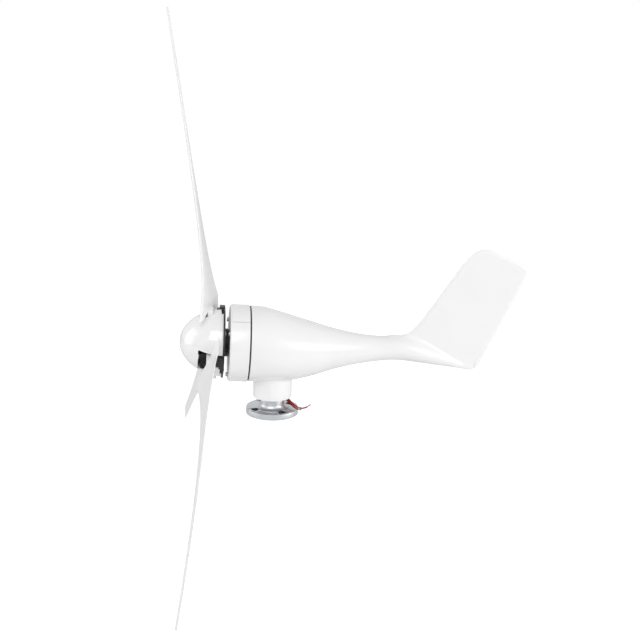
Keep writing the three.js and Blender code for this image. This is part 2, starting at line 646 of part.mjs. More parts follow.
/** Black hub casting: disc, rear boss and three raised pads that the blades are bolted to. */
function hubPlate() {
  const disc = turned('x', [
    [-104, 0], [-104, 22], [PLATE_FRONT, 25], [PLATE_FRONT, PLATE_SPIGOT],
    [PLATE_STEP, PLATE_SPIGOT], [PLATE_STEP, PLATE_RADIUS], [PLATE_REAR, PLATE_RADIUS],
    [PLATE_REAR, 23.7], [SHELL_FRONT - 0.8, 23.7], [SHELL_FRONT - 0.8, 0],
  ], 36);
  const pads = BLADE_AZIMUTHS.map((azimuth) => {
    const inside = blockGeometry([PAD_FRONT, PAD_LEADING, 18], [PLATE_REAR, PAD_TRAILING, PAD_FLUSH]);
    const lug = blockGeometry([PAD_LUG, PAD_LEADING, 18], [PLATE_REAR, PAD_TRAILING, PAD_OUTER]);
    return joined(solid(inside.rotateX(azimuth)), solid(lug.rotateX(azimuth)));
  });
  const holes = BLADE_AZIMUTHS.flatMap((azimuth) => (
    boltHoles(-110, BOLT_END + 1).map((hole) => hole.rotate([azimuth / DEG, 0, 0]))
  ));
  const bore = solid(rodGeometry('x', 8.5 + GAP, -110, -70, 20));
  const screwHoles = noseScrewPlaces().map(([y, z]) => (
    solid(rodGeometry('x', 2.4, PLATE_FRONT - 6, PLATE_REAR + 2, 8).translate(0, y, z))
  ));
  return cut(joined(disc, ...pads), bore, ...holes, ...screwHoles);
}

/** Places of the screws that hold the nose cone, midway between the blades. */
function noseScrewPlaces() {
  return BLADE_AZIMUTHS.map((azimuth) => {
    const angle = azimuth + Math.PI / 3;
    return [-48 * Math.sin(angle), 48 * Math.cos(angle)];
  });
}

/** Glossy nose cone, slotted for the blades from its rim, with three screw bosses inside. */
function noseCone() {
  const profile = (length, radius) => {
    const points = [];
    for (let i = 0; i <= 8; i += 1) {
      const reach = Math.sin((i / 8) * (Math.PI / 2));
      const swell = i === 8 ? 0 : radius * Math.sqrt(1 - reach ** 1.75);
      points.push([NOSE_RIM - length * reach, swell]);
    }
    return points;
  };
  const outer = profile(NOSE_LENGTH, NOSE_RADIUS);
  const inner = profile(NOSE_LENGTH - NOSE_WALL, NOSE_RADIUS - NOSE_WALL);
  const shell = solid(turnedGeometry('x', [...inner.reverse(), ...outer], 36));
  const bosses = noseScrewPlaces().map(([y, z]) => {
    const stem = solid(rodGeometry('x', 4.6, -118, PLATE_FRONT - GAP, 8).translate(0, y, z));
    const inside = solid(turnedGeometry('x', [[NOSE_RIM, 0], ...outer], 24));
    return cut(stem.intersect(inside), solid(rodGeometry('x', 2.3, -102, -80, 8).translate(0, y, z)));
  });
  const slots = BLADE_AZIMUTHS.map((azimuth) => solid(
    blockGeometry([SLOT_FRONT, SLOT_LEADING, 20], [-80, SLOT_TRAILING, 80]).rotateX(azimuth),
  ));
  return joined(cut(shell, ...slots), ...bosses);
}

function noseScrew([y, z]) {
  const head = rodGeometry('x', 4, PLATE_REAR + GAP, PLATE_REAR + GAP + 2.2, 10);
  const shank = rodGeometry('x', 1.9, -100, PLATE_REAR + 1, 8);
  return joined(solid(head.translate(0, y, z)), solid(shank.translate(0, y, z)));
}

/** Stepped shaft: threaded nose, bearing seats and the wider part that carries the magnets. */
function mainShaft() {
  const frontSeatEnd = FRONT_BEARING.at + FRONT_BEARING.width / 2 + GAP;
  const rearSeat = REAR_BEARING.at - REAR_BEARING.width / 2 - GAP;
  const tail = REAR_BEARING.at + REAR_BEARING.width / 2 + 0.9;
  return turned('x', [
    [-121, 0], [-121, 7], [-120, 8], [-102, 8], [-101.5, 8.5], [frontSeatEnd, 8.5], [frontSeatEnd, 11],
    [rearSeat, 11], [rearSeat, 7.5], [tail - 0.8, 7.5], [tail, 6.7], [tail, 0],
  ], 16);
}

function hubWasher() {
  return ring('x', 8 + GAP, 15, -106.6, -104.3, 16);
}

function hubNut() {
  const body = solid(rodGeometry('x', 13.9, -117, -106.9, 6));
  return cut(body, solid(rodGeometry('x', 8 + GAP, -118, -105, 16)));
}

function rotorCore() {
  return ring('x', 11 + GAP, 33, STATOR_FRONT + 4, STATOR_REAR + 1, 20);
}

/** Ring of magnets, marked off pole by pole with shallow grooves. */
function magnetRing() {
  const body = ring('x', 33 + GAP, 37.4, STATOR_FRONT + 4.4, STATOR_REAR + 0.6, 24);
  const grooves = [];
  for (let i = 0; i < MAGNET_POLES; i += 1) {
    const groove = blockGeometry([STATOR_FRONT, -1.1, 35.6], [STATOR_REAR + 4, 1.1, 40]);
    grooves.push(solid(groove.rotateX((2 * Math.PI * i) / MAGNET_POLES)));
  }
  return cut(body, ...grooves);
}

// ---------------------------------------------------------------- assembly

function mastStub() {
  const group = new THREE.Group();
  addPart(group, 'mast_flange', mastFlange(), MACHINED);
  addPart(group, 'yaw_spindle', yawSpindle(), STEEL);
  addPart(group, 'yaw_lower_inner_ring', innerRing('z', YAW_LOWER), STEEL);
  addPart(group, 'yaw_upper_inner_ring', innerRing('z', YAW_UPPER), STEEL);
  addPart(group, 'spindle_nut', spindleNut(), STEEL);
  addPart(group, 'slip_ring_drum', slipRingDrum(), BLACK_CAST);
  addPart(group, 'lead_grommet', leadGrommet(), RUBBER);
  for (let i = 0; i < 3; i += 1) {
    addPart(group, `slip_ring_${i + 1}`, slipRing(i), COPPER);
    addPart(group, `lead_${i + 1}`, lead(i), RED_SHEATH);
  }
  return group;
}

function nacelle() {
  const group = new THREE.Group();
  const level = new THREE.Group();
  level.position.z = AXIS_HEIGHT;
  addPart(level, 'nacelle_body', nacelleBody(), WHITE_PAINT);
  const onAxis = new THREE.Group();
  onAxis.applyMatrix4(uptiltFrame());
  onAxis.position.z += AXIS_HEIGHT;
  addPart(onAxis, 'front_shell', frontShell(), WHITE_PAINT);
  addPart(onAxis, 'shell_gasket', shellGasket(), RUBBER);
  addPart(onAxis, 'stator_core', statorCore(), LAMINATION);
  addPart(onAxis, 'stator_winding', statorWinding(), COPPER);
  addPart(onAxis, 'rear_bearing_plate', rearBearingPlate(), MACHINED);
  addPart(onAxis, 'front_outer_ring', outerRing('x', FRONT_BEARING), STEEL);
  addPart(onAxis, 'rear_outer_ring', outerRing('x', REAR_BEARING), STEEL);
  addPart(onAxis, 'front_ball_set', ballSet('x', FRONT_BEARING), STEEL);
  addPart(onAxis, 'rear_ball_set', ballSet('x', REAR_BEARING), STEEL);
  shellBoltPlaces().forEach((place, i) => addPart(onAxis, `shell_bolt_${i + 1}`, shellBolt(place), STEEL));
  addPart(group, 'yaw_lower_outer_ring', outerRing('z', YAW_LOWER), STEEL);
  addPart(group, 'yaw_upper_outer_ring', outerRing('z', YAW_UPPER), STEEL);
  addPart(group, 'yaw_lower_ball_set', ballSet('z', YAW_LOWER), STEEL);
  addPart(group, 'yaw_upper_ball_set', ballSet('z', YAW_UPPER), STEEL);
  addPart(group, 'yaw_circlip', yawCirclip(), STEEL);
  addPart(group, 'brush_holder', brushHolder(), BLACK_CAST);
  BRUSH_HEIGHTS.forEach((height, i) => addPart(group, `brush_${i + 1}`, brush(height), CARBON));
  group.add(level, onAxis);
  return group;
}

function rotor() {
  const group = new THREE.Group();
  group.applyMatrix4(uptiltFrame());
  group.position.z += AXIS_HEIGHT;
  addPart(group, 'nose_cone', noseCone(), WHITE_PAINT);
  addPart(group, 'hub_plate', hubPlate(), BLACK_CAST);
  addPart(group, 'main_shaft', mainShaft(), STEEL);
  addPart(group, 'hub_washer', hubWasher(), STEEL);
  addPart(group, 'hub_nut', hubNut(), STEEL);
  addPart(group, 'rotor_core', rotorCore(), LAMINATION);
  addPart(group, 'magnet_ring', magnetRing(), MAGNET);
  addPart(group, 'front_inner_ring', innerRing('x', FRONT_BEARING), STEEL);
  addPart(group, 'rear_inner_ring', innerRing('x', REAR_BEARING), STEEL);
  noseScrewPlaces().forEach((place, i) => addPart(group, `nose_screw_${i + 1}`, noseScrew(place), STEEL));
  BLADE_AZIMUTHS.forEach((azimuth, i) => {
    const spoke = new THREE.Group();
    spoke.rotation.x = azimuth;
    addPart(spoke, `blade_${i + 1}`, blade(BLADE_LEANS[i], BLADE_BENDS[i]), WHITE_NYLON);
    addPart(spoke, `blade_clamp_${i + 1}`, bladeClamp(), BLACK_CAST);
    BOLT_PLACES.forEach((place, j) => addPart(spoke, `blade_bolt_${2 * i + j + 1}`, bladeBolt(place), STEEL));
    group.add(spoke);
  });
  return group;
}

const turbine = new THREE.Group();
turbine.add(mastStub(), nacelle(), rotor());

export default turbine;
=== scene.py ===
"""Small three-blade wind turbine: cast body with boom and fin in one piece, slotted nose cone, black hub
and a machined mast flange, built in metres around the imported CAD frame.

Sizes in the classes are millimetres; they become metres where a mesh is made.
"""

import logging
import math
from collections.abc import Callable
from dataclasses import dataclass, field
from enum import Enum

import bpy
import numpy as np
from bpy.types import Material, Node, NodeTree, Object, World
from mathutils import Matrix, Vector


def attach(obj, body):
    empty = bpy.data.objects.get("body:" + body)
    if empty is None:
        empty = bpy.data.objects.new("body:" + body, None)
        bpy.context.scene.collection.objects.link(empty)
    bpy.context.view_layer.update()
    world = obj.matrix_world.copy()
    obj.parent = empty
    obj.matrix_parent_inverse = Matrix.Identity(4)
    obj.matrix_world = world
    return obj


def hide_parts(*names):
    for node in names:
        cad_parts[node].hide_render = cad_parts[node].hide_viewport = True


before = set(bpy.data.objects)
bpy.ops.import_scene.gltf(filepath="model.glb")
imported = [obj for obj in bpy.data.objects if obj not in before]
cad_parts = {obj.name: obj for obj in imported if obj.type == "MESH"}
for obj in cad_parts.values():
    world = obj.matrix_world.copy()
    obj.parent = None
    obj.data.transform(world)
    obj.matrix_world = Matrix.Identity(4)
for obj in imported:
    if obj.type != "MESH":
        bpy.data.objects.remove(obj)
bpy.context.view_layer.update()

MM = 0.001
STEPS = 96                      # steps of a full turn where a piece is not seen large
FINE_STEPS = 144                # and where it is
SMOOTH_ANGLE = math.radians(35)
AXIS_HEIGHT = 123.5             # rotor axis over the flange's underside, at the body's front face
BODY_FRONT = -40.8              # along the rotor axis, as all places along it; forward is negative
UPTILT = math.radians(2.2)
BLADE_AZIMUTHS = tuple(math.radians(degrees) for degrees in (-2.5, 117.5, 237.5))
BOLT_PLACES = ((-10, 33), (6, 41))   # blade bolts, across and out from the rotor axis
BOLT_HOLE = 3.5
BOLT_END = -87.5                # rear ends of the blade bolts
TANG_FRONT = -113.0             # front face of the blades' tangs, which the clamps lie on
CLAMP_THICKNESS = 9.0
SCREW_CIRCLE = 48.0             # radius that the nose screws stand on
GAP = 0.3                       # room between two pieces that touch
FAR = 1e3                       # farther than anything on the turbine

log = logging.getLogger("turbine")


class Axis(Enum):
    """Axis that a piece is turned about: the rotor's, before its uptilt, or the mast's."""

    ROTOR = (1, 0, 0)
    CROSS = (0, 1, 0)
    MAST = (0, 0, 1)


class Carve(Enum):
    """What a second solid does to the first."""

    CUT = "DIFFERENCE"
    ADD = "UNION"
    KEEP = "INTERSECT"


class Body(Enum):
    """Moving bodies that new pieces ride on."""

    STUB = "mast_stub"
    NACELLE = "nacelle"
    ROTOR = "rotor"


# ---------------------------------------------------------------- workbench


def mm(x: float, y: float, z: float) -> Vector:
    """A point given in millimetres, in metres."""
    return Vector((x, y, z)) * MM


def rotor_frame() -> Matrix:
    """Carries what is drawn around a level axis at height 0 onto the tipped rotor axis."""
    out = Matrix.Translation(mm(BODY_FRONT, 0, AXIS_HEIGHT))
    return out @ Matrix.Rotation(UPTILT, 4, "Y") @ Matrix.Translation(mm(-BODY_FRONT, 0, 0))


def pick(piece: Object) -> Object:
    """Selects one object alone and makes it the active one.

    Args:
        piece: Object to select.

    Returns:
        The object.
    """
    bpy.ops.object.select_all(action="DESELECT")
    piece.select_set(True)
    bpy.context.view_layer.objects.active = piece
    return piece


def take(name: str) -> Object:
    """Names the newest primitive and puts its place, turn and size into its mesh.

    Args:
        name: Name of the piece.

    Returns:
        The piece.
    """
    piece = pick(bpy.context.active_object)
    piece.name = piece.data.name = name
    bpy.ops.object.transform_apply(location=True, rotation=True, scale=True)
    return piece


def move(piece: Object, matrix: Matrix) -> Object:
    """Moves a piece; the matrix goes into its mesh.

    Args:
        piece: Piece to move.
        matrix: Where it goes.

    Returns:
        The piece.
    """
    pick(piece).matrix_world = matrix
    bpy.ops.object.transform_apply(location=True, rotation=True, scale=True)
    return piece


def quarter(count: int) -> list:
    """Steps of a rounded corner: pairs of 1 - cos and 1 - sin at even angles over a quarter turn."""
    return [(1 - math.cos(a), 1 - math.sin(a)) for a in np.linspace(0, math.pi / 2, count)]


def tidy_faces(piece: Object) -> Object:
    """Merges doubled points, closes open ends and points every face outwards.

    Args:
        piece: Piece to mend.

    Returns:
        The piece.
    """
    pick(piece)
    bpy.ops.object.mode_set(mode="EDIT")
    bpy.ops.mesh.select_all(action="SELECT")
    bpy.ops.mesh.remove_doubles(threshold=2e-6)
    bpy.ops.mesh.fill_holes(sides=0)
    bpy.ops.mesh.select_all(action="SELECT")
    bpy.ops.mesh.normals_make_consistent(inside=False)
    bpy.ops.object.mode_set(mode="OBJECT")
    return piece


def turned(name: str, profile: list, axis: Axis, steps: int = STEPS, sweep: float = 360.0) -> Object:
    """Turns a piece from its profile by spinning a chain of edges.

    Args:
        name: Name of the piece.
        profile: Pairs of place along the axis and radius; a ring's profile closes on itself.
        axis: Axis that it is spun about.
        steps: Steps of the spin.
        sweep: Angle of the spin in degrees; less than a full turn leaves two flat ends.

    Returns:
        The closed solid.
    """
    ring = profile[0][1] > 0
    around = profile + profile[:1] if ring else profile
    if axis is Axis.ROTOR:
        points = [mm(along, 0, radius) for along, radius in around]
    else:
        points = [mm(radius, 0, along) for along, radius in around]
    bpy.ops.object.select_all(action="DESELECT")
    bpy.ops.mesh.primitive_plane_add(size=MM, location=points[0])
    piece = take(name)
    bpy.ops.object.mode_set(mode="EDIT")
    bpy.ops.mesh.select_all(action="SELECT")
    bpy.ops.mesh.merge(type="CENTER")
    for here, there in zip(points, points[1:]):
        bpy.ops.mesh.extrude_vertices_move(TRANSFORM_OT_translate={"value": there - here})
    if sweep < 360 and ring:
        bpy.ops.mesh.select_all(action="SELECT")
        bpy.ops.mesh.remove_doubles(threshold=1e-6)
        bpy.ops.mesh.edge_face_add()
    bpy.ops.mesh.select_all(action="SELECT")
    bpy.ops.mesh.spin(steps=steps, angle=math.radians(sweep), center=(0, 0, 0), axis=axis.value)
    bpy.ops.object.mode_set(mode="OBJECT")
    return tidy_faces(piece)


def rod(name: str, axis: Axis, radius: float, start: float, end: float, sides: int = 32,
        at: tuple = (0.0, 0.0)) -> Object:
    """Makes a round or many-sided rod.

    Args:
        name: Name of the piece.
        axis: Axis that it lies along.
        radius: Distance of its corners from its middle line.
        start: Place along the axis of its one end.
        end: Place of its other end.
        sides: Number of its sides.
        at: Place of its middle line across the axis.

    Returns:
        The closed solid.
    """
    turn = {Axis.ROTOR: (0, math.pi / 2, 0), Axis.CROSS: (math.pi / 2, 0, 0), Axis.MAST: (0, 0, 0)}[axis]
    middle = (start + end) / 2
    place = {
        Axis.ROTOR: mm(middle, *at), Axis.CROSS: mm(at[0], middle, at[1]), Axis.MAST: mm(*at, middle),
    }[axis]
    bpy.ops.object.select_all(action="DESELECT")
    bpy.ops.mesh.primitive_cylinder_add(vertices=sides, radius=radius * MM, depth=(end - start) * MM,
                                        location=place, rotation=turn)
    return take(name)


def block(name: str, low: tuple, high: tuple) -> Object:
    """Makes a block between two corners.

    Args:
        name: Name of the piece.
        low: Its lowest corner.
        high: Its highest corner.

    Returns:
        The closed solid.
    """
    size = mm(*high) - mm(*low)
    bpy.ops.object.select_all(action="DESELECT")
    bpy.ops.mesh.primitive_cube_add(size=1, location=(mm(*low) + mm(*high)) / 2, scale=size)
    return take(name)


def skin(name: str, places: np.ndarray) -> Object:
    """Rolls a grid primitive into a closed skin.

    Args:
        name: Name of the piece.
        places: Millimetre places of the grid's points, as rows by columns by three; the last column
            meets the first.

    Returns:
        The closed solid.
    """
    rows, columns, _ = places.shape
    bpy.ops.object.select_all(action="DESELECT")
    bpy.ops.mesh.primitive_grid_add(x_subdivisions=columns - 1, y_subdivisions=rows - 1, size=1)
    piece = take(name)
    piece.data.vertices.foreach_set("co", (places * MM).astype(np.float32).ravel())
    return tidy_faces(piece)


def carve(piece: Object, *tools: Object, how: Carve = Carve.CUT) -> Object:
    """Works other solids into a piece.

    Args:
        piece: Piece to change.
        tools: Solids to cut, add or intersect with, which are used up.
        how: What they do to the piece.

    Returns:
        The piece.
    """
    for tool in tools:
        modifier = piece.modifiers.new("carve", "BOOLEAN")
        modifier.operation, modifier.object, modifier.solver = how.value, tool, "MANIFOLD"
        pick(piece)
        bpy.ops.object.modifier_apply(modifier=modifier.name)
        bpy.data.objects.remove(tool)
    return piece


def drill(piece: Object, axis: Axis, radius: float, span: tuple, sides: int, places: list) -> Object:
    """Drills a hole through a piece at each of some places.

    Args:
        piece: Piece to drill.
        axis: Axis that the holes lie along.
        radius: Radius of the holes.
        span: Start and end of the drill along the axis.
        sides: Number of sides of a hole.
        places: Places of the holes across the axis.

    Returns:
        The piece.
    """
    return carve(piece, *(rod("drill", axis, radius, *span, sides, at) for at in places))


def break_edges(piece: Object, width: float, segments: int = 2, angle: float = 35.0) -> Object:
    """Rounds the sharp edges of a piece.

    Args:
        piece: Piece to change.
        width: Width of the rounding.
        segments: Number of its steps.
        angle: Angle in degrees; only sharper edges are rounded.

    Returns:
        The piece.
    """
    modifier = piece.modifiers.new("edges", "BEVEL")
    modifier.width, modifier.segments = width * MM, segments
    modifier.limit_method, modifier.angle_limit = "ANGLE", math.radians(angle)
    modifier.harden_normals = False
    pick(piece)
    bpy.ops.object.modifier_apply(modifier=modifier.name)
    return piece


def twin(piece: Object, name: str, matrix: Matrix) -> Object:
    """Copies a piece.

    Args:
        piece: Piece to copy.
        name: Name of the copy.
        matrix: Where the copy goes.

    Returns:
        The copy, with a mesh of its own.
    """
    copy = piece.copy()
    copy.data = piece.data.copy()
    copy.name = copy.data.name = name
    bpy.context.scene.collection.objects.link(copy)
    return move(copy, matrix)


def settle(piece: Object, body: Body, finish: Material, slot: str, *nodes: str) -> Object:
    """Finishes a piece, hangs it on its body and hides the CAD nodes that it stands for.

    Args:
        piece: Piece to finish.
        body: Body that it rides on.
        finish: Its material.
        slot: Not used.
        nodes: CAD nodes that it stands for.

    Returns:
        The piece.
    """
    pick(piece)
    if piece.type == "MESH":
        bpy.ops.object.shade_smooth_by_angle(angle=SMOOTH_ANGLE)
    piece.data.materials.clear()
    piece.data.materials.append(finish)
    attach(piece, body.value)
    if nodes:
        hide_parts(*nodes)
    log.info("%s rides on %s, stands for %s", piece.name, body.value, ", ".join(nodes) or "nothing")
    return piece


def close_in(inside: np.ndarray, outside: np.ndarray, within: Callable, rounds: int) -> np.ndarray:
    """Finds a solid's surface between places inside and outside of it by halving.

    Args:
        inside: Places within the solid.
        outside: Places beyond its surface, one for each.
        within: Tells which places of an array lie within the solid.
        rounds: Number of halvings.

    Returns:
        Places just within the surface.
    """
    for _ in range(rounds):
        middle = (inside + outside) / 2
        found = within(middle)
        inside, outside = np.where(found, middle, inside), np.where(found, outside, middle)
    return inside


def smooth_line(points: list, per_span: int) -> np.ndarray:
    """Draws a centripetal Catmull-Rom line.

    Args:
        points: Points that it runs through.
        per_span: Steps between two of them.

    Returns:
        Points of the line, from the first given point to the last.
    """
    knots = np.array(points, float)
    ends = [2 * knots[0] - knots[1], 2 * knots[-1] - knots[-2]]
    knots = np.vstack([ends[:1], knots, ends[1:]])
    line = []
    for a, b, c, d in zip(knots, knots[1:], knots[2:], knots[3:]):
        ab, bc, cd = (max(np.linalg.norm(q - p) ** 0.5, 1e-9) for p, q in ((a, b), (b, c), (c, d)))
        leave = ((b - a) / ab - (c - a) / (ab + bc) + (c - b) / bc) * bc
        reach = ((c - b) / bc - (d - b) / (bc + cd) + (d - c) / cd) * bc
        for step in range(per_span):
            t = step / per_span
            line.append((2 * t**3 - 3 * t**2 + 1) * b + (t**3 - 2 * t**2 + t) * leave
                        + (3 * t**2 - 2 * t**3) * c + (t**3 - t**2) * reach)
    return np.array([*line, knots[-2]])


# ---------------------------------------------------------------- finishes


def linear(hex_colour: str) -> tuple:
    """Linear RGBA of an sRGB hex colour such as f0f0ef."""
    parts = [int(hex_colour[i:i + 2], 16) / 255 for i in (0, 2, 4)]
    return (*(p / 12.92 if p <= 0.04045 else ((p + 0.055) / 1.055) ** 2.4 for p in parts), 1.0)


def empty_tree(owner: Material | World) -> NodeTree:
    """Switches nodes on for a material or world and clears its tree.

    Args:
        owner: The material or world.

    Returns:
        Its empty node tree.
    """
    owner.use_nodes = True
    owner.node_tree.nodes.clear()
    return owner.node_tree


def add_node(tree: NodeTree, kind: str, settings: dict, links: dict | None = None) -> Node:
    """Adds a shader node.

    Args:
        tree: Node tree to add it to.
        kind: Type of node.
        settings: Values of its properties or, where it has no such property, of its input sockets.
        links: Sockets that feed its inputs, by input name or number.

    Returns:
        The node.
    """
    node = tree.nodes.new(kind)
    for name, value in settings.items():
        if isinstance(name, str) and hasattr(node, name):
            setattr(node, name, value)
        else:
            node.inputs[name].default_value = value
    for name, source in (links or {}).items():
        tree.links.new(source, node.inputs[name])
    return node


class Pattern(Enum):
    """Marks that making leaves on a surface, beside its grain."""

    PLAIN = "plain"
    TURNED = "turned"           # rings about the mast axis, from a lathe tool
    STACKED = "stacked"         # sheets along the rotor axis
    DRAWN = "drawn"             # strands side by side


@dataclass(frozen=True)
class Finish:
    """A material and the way its surface was made.

    Sizes are millimetres: the grain's width and height, the width of slow changes in tone, and the
    pattern's spacing and depth.
    """

    name: str
    tone: str
    shade: str
    roughness: float
    metallic: float = 0.0
    ior: float = 1.5
    roughness_spread: float = 0.06
    grain: float = 0.8
    grain_height: float = 0.01
    patch: float = 40.0
    coat: float = 0.0
    pattern: Pattern = Pattern.PLAIN
    spacing: float = 1.0
    depth: float = 0.01

    def make(self) -> Material:
        """Builds the node tree: tone patches, uneven gloss, grain and the pattern as relief.

        Returns:
            The material.
        """
        material = bpy.data.materials.new(self.name)
        tree = empty_tree(material)
        place = add_node(tree, "ShaderNodeTexCoord", {}).outputs["Object"]
        patches = self.noise(tree, place, self.patch, 3.0)
        fine = self.noise(tree, place, self.grain, 2.0)
        colour = add_node(tree, "ShaderNodeMix", {"data_type": "RGBA", 6: linear(self.tone),
                                                  7: linear(self.shade)}, {0: patches})
        low, high = self.roughness - self.roughness_spread, self.roughness + self.roughness_spread
        gloss = add_node(tree, "ShaderNodeMapRange", {"To Min": low, "To Max": high}, {"Value": patches})
        relief = add_node(tree, "ShaderNodeBump", {"Strength": 1.0, "Distance": self.grain_height * MM},
                          {"Height": fine})
        if self.pattern is not Pattern.PLAIN:
            relief = add_node(tree, "ShaderNodeBump", {"Strength": 1.0, "Distance": self.depth * MM},
                              {"Height": self.marks(tree, place), "Normal": relief.outputs["Normal"]})
        settings = {"Metallic": self.metallic, "Coat Weight": self.coat, "Coat Roughness": 0.08}
        if not self.metallic:
            settings["IOR"] = self.ior
        shader = add_node(tree, "ShaderNodeBsdfPrincipled", settings, {
            "Base Color": colour.outputs[2], "Roughness": gloss.outputs["Result"],
            "Normal": relief.outputs["Normal"],
        })
        add_node(tree, "ShaderNodeOutputMaterial", {}, {"Surface": shader.outputs["BSDF"]})
        return material

    def noise(self, tree: NodeTree, place: object, width: float, detail: float) -> object:
        """Adds noise.

        Args:
            tree: Node tree to add it to.
            place: Socket with the place on the surface.
            width: Width of the noise's features.
            detail: Number of its finer layers.

        Returns:
            Socket with its strength.
        """
        node = add_node(tree, "ShaderNodeTexNoise", {"Scale": 1 / (width * MM), "Detail": detail},
                        {"Vector": place})
        return node.outputs["Fac"]

    def marks(self, tree: NodeTree, place: object) -> object:
        """Adds the making marks as waves.

        Args:
            tree: Node tree to add them to.
            place: Socket with the place on the surface.

        Returns:
            Socket with their height.
        """
        scale = 2 * math.pi / (20 * self.spacing * MM)      # a wave node draws 20 waves in 2 pi metres
        if self.pattern is Pattern.TURNED:
            kind = {"wave_type": "RINGS", "rings_direction": "Z"}
        else:
            kind = {"wave_type": "BANDS", "bands_direction": "Z" if self.pattern is Pattern.DRAWN else "X"}
        wobble = 0.4 if self.pattern is Pattern.TURNED else 1.2
        node = add_node(tree, "ShaderNodeTexWave", {**kind, "Scale": scale, "Distortion": wobble,
                                                    "Detail": 1.5, "Detail Scale": 0.6}, {"Vector": place})
        return node.outputs["Fac"]


# Polyester powder coat on die-cast aluminium: an even bright white with the faintest orange peel.
PAINT = Finish("powder_coated_white", "f4f4f4", "efefef", 0.2, roughness_spread=0.03,
               grain=2.4, grain_height=0.004, patch=60.0, coat=0.3)
# Gloss ABS, injection moulded and polished: clean white with a mirror-like skin.
ABS = Finish("gloss_abs_white", "f3f3f3", "eeeeee", 0.14, ior=1.53, roughness_spread=0.03,
             grain=3.0, grain_height=0.003, patch=50.0, coat=0.5)
# Glass-filled nylon, injection moulded: white with a soft sheen and faint flow along the blade.
NYLON = Finish("glass_nylon_white", "f2f2f2", "ececec", 0.3, ior=1.53, roughness_spread=0.05,
               grain=1.2, grain_height=0.003, patch=35.0)
# Black stoved enamel over a sand-textured casting: the grain shows as a dull sparkle.
ENAMEL = Finish("enamelled_black_casting", "17181a", "232427", 0.42, roughness_spread=0.1,
                grain=0.9, grain_height=0.05, patch=12.0)
# Turned aluminium: fine rings left by the tool, drawn coarser than life so that they show.
TURNED_ALUMINIUM = Finish("turned_aluminium", "d6d8da", "c6c9cc", 0.42, metallic=1.0,
                          roughness_spread=0.07, grain=0.5, grain_height=0.004, patch=14.0,
                          pattern=Pattern.TURNED, spacing=0.7, depth=0.03)
# Bolt holes' walls: drilled aluminium painted dark as the shade that falls in the holes, with the drill's
# feed marks.
HOLE_SHADE = Finish("hole_shade_aluminium", "3a3b3d", "4a4b4d", 0.55, metallic=0.6, roughness_spread=0.1,
                 grain=0.5, patch=4.0)
# Zinc-plated steel: slightly cloudy, with a fine crystalline grain.
ZINC = Finish("zinc_plated_steel", "b4b7ba", "989ca0", 0.32, metallic=1.0, roughness_spread=0.08,
              grain=0.4, grain_height=0.006, patch=6.0)
# Black-oxide steel fasteners: dark, slightly brown, with an oiled gleam.
BLACK_OXIDE = Finish("black_oxide_steel", "2b2b2d", "38373a", 0.34, metallic=0.9, roughness_spread=0.08,
                     grain=0.4, grain_height=0.006, patch=5.0)
# Ground bearing steel: nearly a mirror, with the grinding marks across it.
GROUND = Finish("ground_bearing_steel", "a9adb1", "9a9ea2", 0.18, metallic=1.0, roughness_spread=0.05,
                grain=0.3, grain_height=0.002, patch=8.0, pattern=Pattern.STACKED, spacing=0.5, depth=0.003)
# Stacked electrical steel sheets: half-millimetre laminations show as lines across the axis.
LAMINATED = Finish("laminated_steel", "6a6d71", "54575b", 0.45, metallic=0.9, roughness_spread=0.08,
                   grain=0.6, patch=9.0, pattern=Pattern.STACKED, spacing=0.5, depth=0.05)
# Enamelled copper wire wound in bundles: amber, glossy, ridged strand by strand.
COPPER = Finish("enamelled_copper_wire", "b3622c", "8e4520", 0.28, metallic=1.0, roughness_spread=0.07,
                grain=0.5, patch=5.0, pattern=Pattern.DRAWN, spacing=0.9, depth=0.12)
# Nickel-plated neodymium: smooth bright plating.
NICKEL = Finish("nickel_plated_magnet", "c3c1bb", "b0aea8", 0.2, metallic=1.0, roughness_spread=0.05,
                grain=0.6, grain_height=0.003, patch=10.0)
# Moulded nitrile rubber: dull black with a matt bloom.
RUBBER = Finish("nitrile_rubber", "161617", "202021", 0.62, ior=1.52, roughness_spread=0.1,
                grain=0.6, grain_height=0.02, patch=7.0)
# Pressed carbon graphite: dark, soft-looking, with a weak metallic gleam.
GRAPHITE = Finish("pressed_graphite", "2b2b2d", "1f1f21", 0.55, metallic=0.2, roughness_spread=0.1,
                  grain=0.4, grain_height=0.015, patch=4.0)
# Moulded black nylon for insulation: even satin.
BLACK_NYLON = Finish("moulded_black_nylon", "1c1d1f", "252628", 0.45, ior=1.53,
                     grain=0.7, grain_height=0.012, patch=9.0)
# Silicone sheath: deep red, slightly waxy, extruded with faint ridges.
SHEATH = Finish("red_silicone_sheath", "a81c20", "8c1619", 0.38, ior=1.43,
                grain=0.5, grain_height=0.012, patch=6.0)
# Tinned copper strands: silvery, a little dull where the tin ran.
TINNED = Finish("tinned_copper_strand", "c9cacc", "a9a7a2", 0.3, metallic=1.0, roughness_spread=0.08,
                grain=0.3, patch=1.5)


# ---------------------------------------------------------------- studio


